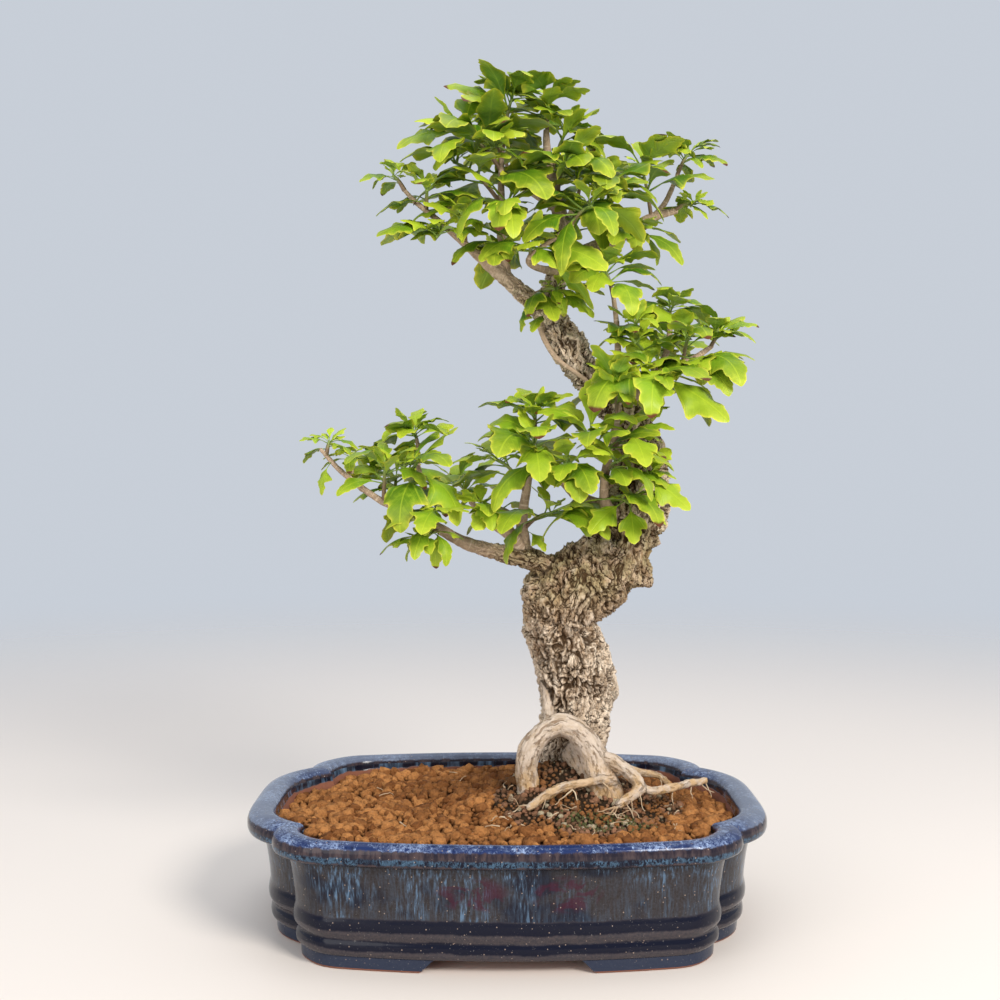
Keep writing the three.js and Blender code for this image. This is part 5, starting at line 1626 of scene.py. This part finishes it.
def rootlet_path(number, start, heading, reach, radius):
    """A thin root that sinks and wanders, and lies on the ground where it meets it."""
    steps = 9
    direction = Vector(heading).normalized()
    point = Vector(start)
    path = []
    for i in range(steps + 1):
        floor = float(ground_height(point.x, point.y)) + 1.4
        height = max(point.z, floor) if i else point.z
        path.append((point.x, point.y, height, radius * mix(1.0, 0.35, i / steps)))
        sway = Vector([draw(number, i, k) - 0.5 for k in range(3)]) * 0.75
        direction = (direction + sway + Vector((0, 0, -0.18))).normalized()
        point = point + direction * (reach / steps)
    return path


def make_root_hairs():
    paths = [rootlet_path(i, *rootlet) for i, rootlet in enumerate(ROOTLETS)]
    for i in range(LOOSE_FIBRES):
        across, deep = NEAR_TREE if i < LOOSE_FIBRES * NEAR_SHARE else WHOLE_POT
        x = mix(*across, draw(i, 1, 40))
        y = mix(*deep, draw(i, 2, 40))
        turn = 2 * math.pi * draw(i, 3, 40)
        start = (x, y, float(ground_height(x, y)) + 3.0)
        size = mix(*FIBRE_LENGTH, draw(i, 4, 40))
        heading = (math.cos(turn), math.sin(turn), 0.1)
        paths.append(rootlet_path(60 + i, start, heading, size, FIBRE_RADIUS))
    values = {"Material": root_hair_material()}
    mesh = run_tree("root_hairs", path_mesh("root_hair_paths", paths), path_tree(), values)
    add_piece("root_hairs", mesh, "bark")


# Foliage


def place_on(limb, part):
    """A place on a limb's route. Part is 0 at its foot and 1 at its tip."""
    route = LIMBS[limb][1]
    along = part * (len(route) - 1)
    i = min(int(along), len(route) - 2)
    return Vector(route[i][:3]).lerp(Vector(route[i + 1][:3]), along - i)


def stem_point(shoot, part):
    bow = 0.12 * shoot["length"] * math.sin(math.pi * part)
    return shoot["foot"].lerp(shoot["tip"], part) + Vector((0, 0, bow))


def leaf_pose(shoot, i, attempt):
    """One leaf: where its stalk starts, its heading and pitch, its droop, its roll and its length."""
    seed = shoot["seed"]
    part = mix(0.22, 1, (i + 0.6) / shoot["count"])

    def wobble(k):
        return 2 * draw(seed, i, k + 10 * attempt) - 1

    turn = seed * 1.7 + i * GOLDEN_TURN + 0.5 * wobble(1) + attempt * 0.9
    heading = Vector((math.cos(turn), math.sin(turn), 0)) + shoot["direction"] * 0.75 * part
    heading.z += mix(0, 0.5, part) + 0.3 * wobble(2) + 0.1 * attempt
    heading.normalize()
    return {
        "start": stem_point(shoot, part),
        "azimuth": math.atan2(heading.y, heading.x),
        "pitch": math.atan2(heading.z, math.hypot(heading.x, heading.y)),
        "droop": 1.4 + 0.6 * wobble(3),
        "roll": 0.45 * wobble(4),
        "length": shoot["blade"] * (1 - 0.3 * part * part) * (1 + 0.16 * wobble(5)),
    }


def leaf_point(pose, place, width):
    """A point of a leaf: place runs from the blade's base to its tip, width across it, in blade lengths."""
    azimuth, pitch, droop, roll, size = (pose[k] for k in ("azimuth", "pitch", "droop", "roll", "length"))
    angle = pitch - droop * place
    forward = STALK_SHARE * size * math.cos(pitch) + size / droop * (math.sin(pitch) - math.sin(angle))
    rise = STALK_SHARE * size * math.sin(pitch) + size / droop * (math.cos(angle) - math.cos(pitch))
    away = Vector((math.cos(azimuth), math.sin(azimuth), 0))
    along = away * math.cos(angle) + Vector((0, 0, math.sin(angle)))
    level = Vector((-math.sin(azimuth), math.cos(azimuth), 0))
    side = level * math.cos(roll) + along.cross(level) * math.sin(roll)
    return pose["start"] + away * forward + Vector((0, 0, rise)) + side * width * size


def clear_pose(shoot, i, placed, share):
    """The first of a leaf's poses that keeps clear of the leaves placed so far, if one does."""
    for attempt in range(TRIES):
        pose = leaf_pose(shoot, i, attempt)
        clear = share * pose["length"]
        feelers = [leaf_point(pose, *feeler) for feeler in FEELERS]
        if not any((p - q).length_squared < clear * clear for p in placed for q in feelers):
            placed += feelers
            return pose
    return None


def plan_shoots(filling):
    """The leaves of every shoot, by the rule that also placed the solids' leaves, and more between them."""
    placed = []
    shoots = []
    for seed, (name, (limb, place, tip, count, blade, size, lift)) in enumerate(SHOOTS.items()):
        foot = place_on(limb, place)
        tip = Vector(tip)
        shoot = {
            "name": name, "seed": seed, "foot": foot, "tip": tip, "length": (tip - foot).length,
            "direction": (tip - foot).normalized(), "count": count, "blade": blade, "habit": (size, lift),
            "leaves": [],
        }
        for i in range(count):
            pose = clear_pose(shoot, i, placed, CLEAR_SHARE)
            if pose:
                pose["young"] = 1.0 if i % YOUNG_EVERY == YOUNG_TURN else 0.0
                shoot["leaves"].append(pose)
        shoots.append(shoot)
    for shoot in shoots:
        share = 0.0 if shoot["name"] in THIN_SHOOTS else filling
        extra = dict(shoot, seed=shoot["seed"] + len(shoots), count=round(shoot["count"] * share))
        for i in range(extra["count"]):
            pose = clear_pose(extra, i, placed, CLEAR_SHARE * 0.75)
            if pose:
                pose["young"] = 0.0
                pose["length"] *= mix(0.65, 1.0, draw(extra["seed"], i, 70))
                shoot["leaves"].append(pose)
    return shoots


def tip_leaves(shoot, size):
    """The small upright leaves that unfold at a shoot's tip."""
    leaves = []
    for i in range(TIP_LEAVES):
        rolls = [draw(shoot["seed"], i, k) for k in range(50, 55)]
        azimuth = 2 * math.pi * (i + 0.6 * rolls[0]) / TIP_LEAVES
        leaves.append(
            {
                "start": shoot["tip"] - shoot["direction"], "azimuth": azimuth,
                "pitch": mix(0.35, 1.15, rolls[1]), "droop": mix(0.3, 1.0, rolls[2]),
                "roll": 0.3 * (2 * rolls[3] - 1), "young": 1.0,
                "length": shoot["blade"] * size * mix(0.4, 0.75, rolls[4]),
            }
        )
    return leaves


def hanging_leaves(name):
    """The single leaves of the table that belong to a shoot's piece. Stalks start at the limb's skin."""
    leaves = []
    for owner, limb, part, azimuth, pitch, size in HANGING_LEAVES:
        if owner != name:
            continue
        route = LIMBS[limb][1]
        away = Vector((math.cos(azimuth), math.sin(azimuth), 0)) * route[round(part * (len(route) - 1))][3]
        leaves.append(
            {
                "start": place_on(limb, part) + away * 0.8, "azimuth": azimuth, "pitch": pitch,
                "droop": 0.9, "roll": 0.2, "length": size, "young": 0.0,
            }
        )
    return leaves


def single_leaves(shoot):
    """The single leaves of the table that grow on a shoot's stem."""
    keys = ("azimuth", "pitch", "droop", "roll", "length", "young", "shape")
    return [
        {"start": stem_point(shoot, row[0]), **dict(zip(keys, row[1:]))}
        for row in SINGLE_LEAVES.get(shoot["name"], ())
    ]


def lowered(pose, ceiling):
    """The leaf with its heading lowered until all of it stays under a height."""
    places = [(k / 6, 0.3 * side) for k in range(7) for side in (-1, 0, 1)]
    while max(leaf_point(pose, *place).z for place in places) > ceiling:
        pose["pitch"] -= 0.12
        pose["start"] = pose["start"] - Vector((0, 0, 0.3))
    return pose


def grown_leaves(shoot, settings):
    """A shoot's leaves with their looks, turned a little to the light. Young ones stand up more."""
    leaves = []
    size, lift = shoot["habit"]
    bright = 0.12 if shoot["tip"].z < LOW_SHOOTS else 0.0
    extra = tip_leaves(shoot, settings.young_size) + hanging_leaves(shoot["name"]) + single_leaves(shoot)
    for i, pose in enumerate(shoot["leaves"] + extra):
        pose = dict(pose)
        pick, rare, tone, dry, cup, wave, pitch, ceiling = (draw(shoot["seed"], i, k) for k in range(61, 69))
        if i < len(shoot["leaves"]):
            pose["length"] *= settings.size
            if pose["young"]:
                pose["length"] *= settings.young_size
                pose["pitch"] += 0.25
                pose["droop"] *= 0.7
            pose["length"] *= size
            pose["pitch"] += lift + PITCH_SPREAD * (pitch - 0.5)
            pose["droop"] *= LESS_DROOP
        pose["roll"] += TURN_TO_LIGHT * math.cos(pose["azimuth"])
        lowered(pose, CEILING - CEILING_SPREAD * ceiling**2)
        outer = min(1.0, (pose["start"] - shoot["foot"]).length / shoot["length"])
        shape = pose.get("shape", 3 if pose["young"] and pick < 0.5 else int(pick * 3))
        young = max(pose["young"] * mix(0.55, 1.0, pick), 0.5 * (rare > 0.8))
        pose.update(
            shape=shape, young=young, tone=mix(tone, outer, 0.35) + bright, dry=dry * (1 - pose["young"]),
            cup=mix(0.6, 1.5, cup), wave=2 * math.pi * wave,
        )
        leaves.append(pose)
    return leaves


def shoot_mesh(shoot, leaves, stem_radius):
    """A carrier for the leaf tree: one loose point for each leaf and a path for the stem."""
    count, steps = len(leaves), 7
    parts = [i / steps for i in range(steps + 1)]
    points = [(0, 0, 0)] * count + [tuple(stem_point(shoot, mix(-0.04, 1, part)) * MM) for part in parts]
    mesh = bpy.data.meshes.new(shoot["name"] + "_plan")
    mesh.from_pydata(points, [(count + i, count + i + 1) for i in range(steps)], [])
    blank = [0.0] * len(parts)
    for key in LEAF_NUMBERS:
        factor = MM if key == "length" else 1.0
        set_attribute(mesh, key, [leaf[key] * factor for leaf in leaves] + blank)
    set_attribute(mesh, "shape", [leaf["shape"] for leaf in leaves] + [0] * len(parts), "INT")
    starts = [tuple(leaf["start"] * MM) for leaf in leaves] + [(0, 0, 0)] * len(parts)
    set_attribute(mesh, "start", starts, "FLOAT_VECTOR")
    set_attribute(mesh, "is_leaf", [1.0] * count + blank)
    set_attribute(mesh, "thickness", [0.0] * count + [stem_radius * mix(1.1, 0.6, part) for part in parts])
    set_attribute(mesh, "ripe", [0.0] * count + parts)
    return mesh


def leaf_template(name, outline):
    """A flat leaf one unit long, with x along the blade and y across it. The stalk runs back from 0."""
    work = bmesh.new()
    thick = 0.012
    blade_uv = work.loops.layers.uv.new("blade")
    margin = work.verts.layers.float.new("margin")
    under = work.verts.layers.float.new("under")
    ribs = []
    for place, half in outline:
        ribs.append(max(place - 0.75 * half, (ribs[-1] + 0.02) if ribs else 0.0))

    def put(x, y, z, edge=0.0, low=0.0):
        vert = work.verts.new((x, y, z))
        vert[margin] = edge
        vert[under] = low
        return vert

    tip = put(1.0, 0.0, 0.0, 1.0)
    tops = [put(x, 0.0, thick) for x in ribs[:-1]] + [tip]
    lows = [put(x, 0.0, -thick, 0.0, 1.0) for x in ribs[:-1]] + [tip]
    ends = [put(-STALK_SHARE, y, z) for y, z in ((0.02, 0), (0, 0.02), (-0.02, 0), (0, -0.02))]
    waist = [put(-0.12, y, z) for y, z in ((0.017, 0), (0, 0.017), (-0.017, 0), (0, -0.017))]
    sides = {}
    for sign in (1, -1):
        rim = [put(x, sign * y, 0.0, 1.0) for x, y in outline[:-1]] + [tip]
        middle = [
            put((ribs[i] + outline[i][0]) / 2, sign * outline[i][1] / 2, thick * 0.6, 0.12)
            for i in range(len(outline) - 1)
        ]
        sides[sign] = rim
        last = len(outline) - 2
        work.faces.new((tops[0], tops[1], middle[1], rim[0]))
        work.faces.new((rim[0], middle[1], rim[1]))
        for i in range(1, last):
            work.faces.new((tops[i], tops[i + 1], middle[i + 1], middle[i]))
            work.faces.new((middle[i], middle[i + 1], rim[i + 1], rim[i]))
        work.faces.new((tops[last], tip, middle[last]))
        work.faces.new((middle[last], tip, rim[last]))
        for i in range(last):
            work.faces.new((lows[i], rim[i], rim[i + 1], lows[i + 1]))
        work.faces.new((lows[last], rim[last], tip))
        work.verts.remove(middle[0])
    base = [sides[1][0], tops[0], sides[-1][0], lows[0]]
    for a, b in ((ends, waist), (waist, base)):
        for k in range(4):
            work.faces.new((a[k], a[(k + 1) % 4], b[(k + 1) % 4], b[k]))
    work.faces.new(ends)
    bmesh.ops.recalc_face_normals(work, faces=work.faces)
    for face in work.faces:
        face.smooth = True
        for loop in face.loops:
            loop[blade_uv].uv = (loop.vert.co.x, 0.5 + loop.vert.co.y)
    for edge in work.edges:
        edge.smooth = not all(vert[margin] == 1.0 for vert in edge.verts)
    mesh = bpy.data.meshes.new(name)
    work.to_mesh(mesh)
    work.free()
    return mesh


def leaf_tree():
    """Bends a flat leaf at each point by that leaf's numbers, and lays a tube along the stem."""
    tree, inlet = geometry_tree(
        "leafy_shoot",
        {
            "Shapes": ("Collection", None), "Cup": ("Float", 0.5),
            "Leaf Material": ("Material", None), "Stem Material": ("Material", None),
        },
    )
    feeds = {"Selection": read(tree, "is_leaf"), "Instance Index": read(tree, "shape", "INT")}
    leaves = change(shape_instances(inlet("Geometry"), inlet, feeds), "RealizeInstances")
    place, width, thick = add(tree, "GeometryNodeInputPosition").split()
    azimuth, pitch, droop, roll, size, cup, wave = (
        read(tree, key) for key in ("azimuth", "pitch", "droop", "roll", "length", "cup", "wave")
    )
    angle = pitch - droop * place.max(0.0)
    straight = (place.min(0.0) + STALK_SHARE) * size
    bend = size / droop
    forward = straight * pitch.cos() + bend * (pitch.sin() - angle.sin())
    rise = straight * pitch.sin() + bend * (angle.cos() - pitch.cos())
    away = combine(tree, azimuth.cos(), azimuth.sin(), 0.0)
    upward = combine(tree, 0.0, 0.0, 1.0)
    along = away * angle.cos() + upward * angle.sin()
    level = combine(tree, -azimuth.sin(), azimuth.cos(), 0.0)
    side = level * roll.cos() + along.vector_math("CROSS_PRODUCT", level) * roll.sin()
    normal = along.vector_math("CROSS_PRODUCT", side)
    spread = width.abs()
    ripple = (place * 15.0 + wave).sin() * spread * spread * 0.8
    fold = (wave * 1.7).sin() * 0.16 + 0.04
    dome = spread * fold - spread * spread * cup * inlet("Cup") * 2.2
    lift = (thick + dome + ripple) * size
    position = read(tree, "start", "FLOAT_VECTOR") + away * forward + upward * rise
    leaves = change(leaves, "SetPosition", Position=position + side * (width * size) + normal * lift)
    leaves = change(leaves, "SetMaterial", Material=inlet("Leaf Material"))
    return close_tree(tree, Geometry=joined(leaves, tube_nodes(tree, inlet, 6, "Stem Material")))


def make_foliage():
    """One piece for each leafy shoot, in place of its solid."""
    settings = bpy.context.scene.bonsai_foliage
    collection = shape_collection("leaf_shapes", [leaf_template(*item) for item in LEAF_OUTLINES.items()])
    tree = leaf_tree()
    values = {
        "Shapes": collection, "Cup": settings.cup,
        "Leaf Material": leaf_material(settings), "Stem Material": stem_material(settings),
    }
    for shoot in plan_shoots(settings.filling):
        name = "leaves_" + shoot["name"]
        plan = shoot_mesh(shoot, grown_leaves(shoot, settings), settings.stem)
        add_piece(name, run_tree(name, plan, tree, values), "leaf", "spray_" + shoot["name"])
    drop_collection(collection)


# Stage


def floor_material(settings):
    """A plain pale floor that fades into the surround."""
    finish = Finish("floor", 0.6)
    x, y, _ = finish.place.split()
    pale = (finish.place.noise(6.0, 2.0) * 0.15).mix(settings.floor, dimmed(settings.floor, 0.97))
    finish.feed("Base Color", pale)
    finish.feed("Alpha", (x * x + y * y).power(0.5).ramp(1.8, 0.45))
    return finish.material


def soft_light(name, place, size, power, tint):
    data = bpy.data.lights.new(name, "AREA")
    data.shape = "DISK"
    data.size = size
    data.energy = power * bpy.context.scene.bonsai_studio.strength
    data.color = tint
    light = linked(name, data)
    light.location = place
    light.rotation_euler = (LIGHTS_AIM - Vector(place)).to_track_quat("-Z", "Y").to_euler()


def make_studio():
    settings = bpy.context.scene.bonsai_studio
    turns = np.linspace(0, 2 * math.pi, 96, endpoint=False)
    circle = [(FLOOR_REACH * math.cos(t), FLOOR_REACH * math.sin(t), FLOOR_LEVEL) for t in turns]
    mesh = mesh_from("floor", circle, [tuple(range(96))], smooth=False)
    mesh.materials.append(floor_material(settings))
    floor = linked("floor", mesh)
    world = bpy.data.worlds.new("surround")
    bpy.context.scene.world = world
    world.use_nodes = True
    background = world.node_tree.nodes["Background"]
    background.inputs["Color"].default_value = (*settings.sky, 1.0)
    background.inputs["Strength"].default_value = SKY_STRENGTH * settings.strength
    for light in LIGHTS:
        soft_light(*light)
    data = bpy.data.cameras.new("camera")
    data.lens = settings.lens
    data.sensor_width = SENSOR_WIDTH
    data.clip_start = 0.01
    camera = linked("camera", data)
    camera.location = settings.eye
    camera.rotation_euler = (math.pi / 2 - settings.pitch, 0.0, 0.0)
    bpy.context.scene.camera = camera
    bpy.context.scene.view_settings.view_transform = "Standard"


# Add-on


class BONSAI_OT_studio(Operator):
    """Makes the floor, the soft lights and the camera"""

    bl_idname = "bonsai.studio"
    bl_label = "Studio"

    def execute(self, context):
        make_studio()
        return {"FINISHED"}


class BONSAI_OT_pot(Operator):
    """Makes the lobed pot with its runny glaze"""

    bl_idname = "bonsai.pot"
    bl_label = "Pot"

    def execute(self, context):
        make_pot()
        return {"FINISHED"}


class BONSAI_OT_screens(Operator):
    """Finishes the plastic screens over the drain holes"""

    bl_idname = "bonsai.screens"
    bl_label = "Drain Screens"

    def execute(self, context):
        finish_screens()
        return {"FINISHED"}


class BONSAI_OT_clay_soil(Operator):
    """Makes the packed clay and strews clay grains over it"""

    bl_idname = "bonsai.clay_soil"
    bl_label = "Clay Soil"

    def execute(self, context):
        make_clay_soil()
        return {"FINISHED"}


class BONSAI_OT_old_soil(Operator):
    """Makes the dark old soil round the roots, with its gravel"""

    bl_idname = "bonsai.old_soil"
    bl_label = "Old Soil"

    def execute(self, context):
        make_old_soil()
        return {"FINISHED"}


class BONSAI_OT_moss(Operator):
    """Grows moss on the old soil"""

    bl_idname = "bonsai.moss"
    bl_label = "Moss"

    def execute(self, context):
        make_moss()
        return {"FINISHED"}


class BONSAI_OT_wood(Operator):
    """Makes the trunk, the branches and the surface roots with their bark"""

    bl_idname = "bonsai.wood"
    bl_label = "Wood"

    def execute(self, context):
        make_wood()
        return {"FINISHED"}


class BONSAI_OT_root_hairs(Operator):
    """Hangs thin roots from the surface roots and strews loose fibres"""

    bl_idname = "bonsai.root_hairs"
    bl_label = "Root Hairs"

    def execute(self, context):
        make_root_hairs()
        return {"FINISHED"}


class BONSAI_OT_foliage(Operator):
    """Grows the leaves of every shoot"""

    bl_idname = "bonsai.foliage"
    bl_label = "Foliage"

    def execute(self, context):
        make_foliage()
        return {"FINISHED"}


STEPS = (
    BONSAI_OT_studio,
    BONSAI_OT_pot,
    BONSAI_OT_screens,
    BONSAI_OT_clay_soil,
    BONSAI_OT_old_soil,
    BONSAI_OT_moss,
    BONSAI_OT_wood,
    BONSAI_OT_root_hairs,
    BONSAI_OT_foliage,
)
SETTINGS = {
    "bonsai_studio": StudioSettings,
    "bonsai_pot": PotSettings,
    "bonsai_soil": SoilSettings,
    "bonsai_wood": WoodSettings,
    "bonsai_foliage": FoliageSettings,
}


class BONSAI_PT_panel(Panel):
    """Lists the steps and their settings."""

    bl_idname = "BONSAI_PT_panel"
    bl_label = "Bonsai"
    bl_space_type = "VIEW_3D"
    bl_region_type = "UI"
    bl_category = "Bonsai"

    def draw(self, context):
        for step in STEPS:
            self.layout.operator(step.bl_idname)
        for name, group in SETTINGS.items():
            box = self.layout.box()
            settings = getattr(context.scene, name)
            for key in group.__annotations__:
                box.prop(settings, key)


CLASSES = (*SETTINGS.values(), *STEPS, BONSAI_PT_panel)


def register():
    for each in CLASSES:
        bpy.utils.register_class(each)
    for name, group in SETTINGS.items():
        setattr(bpy.types.Scene, name, PointerProperty(type=group))


def unregister():
    for name in SETTINGS:
        delattr(bpy.types.Scene, name)
    for each in reversed(CLASSES):
        bpy.utils.unregister_class(each)


def main():
    register()
    for step in STEPS:
        group, name = step.bl_idname.split(".")
        getattr(getattr(bpy.ops, group), name)()


if __name__ == "__main__":
    main()
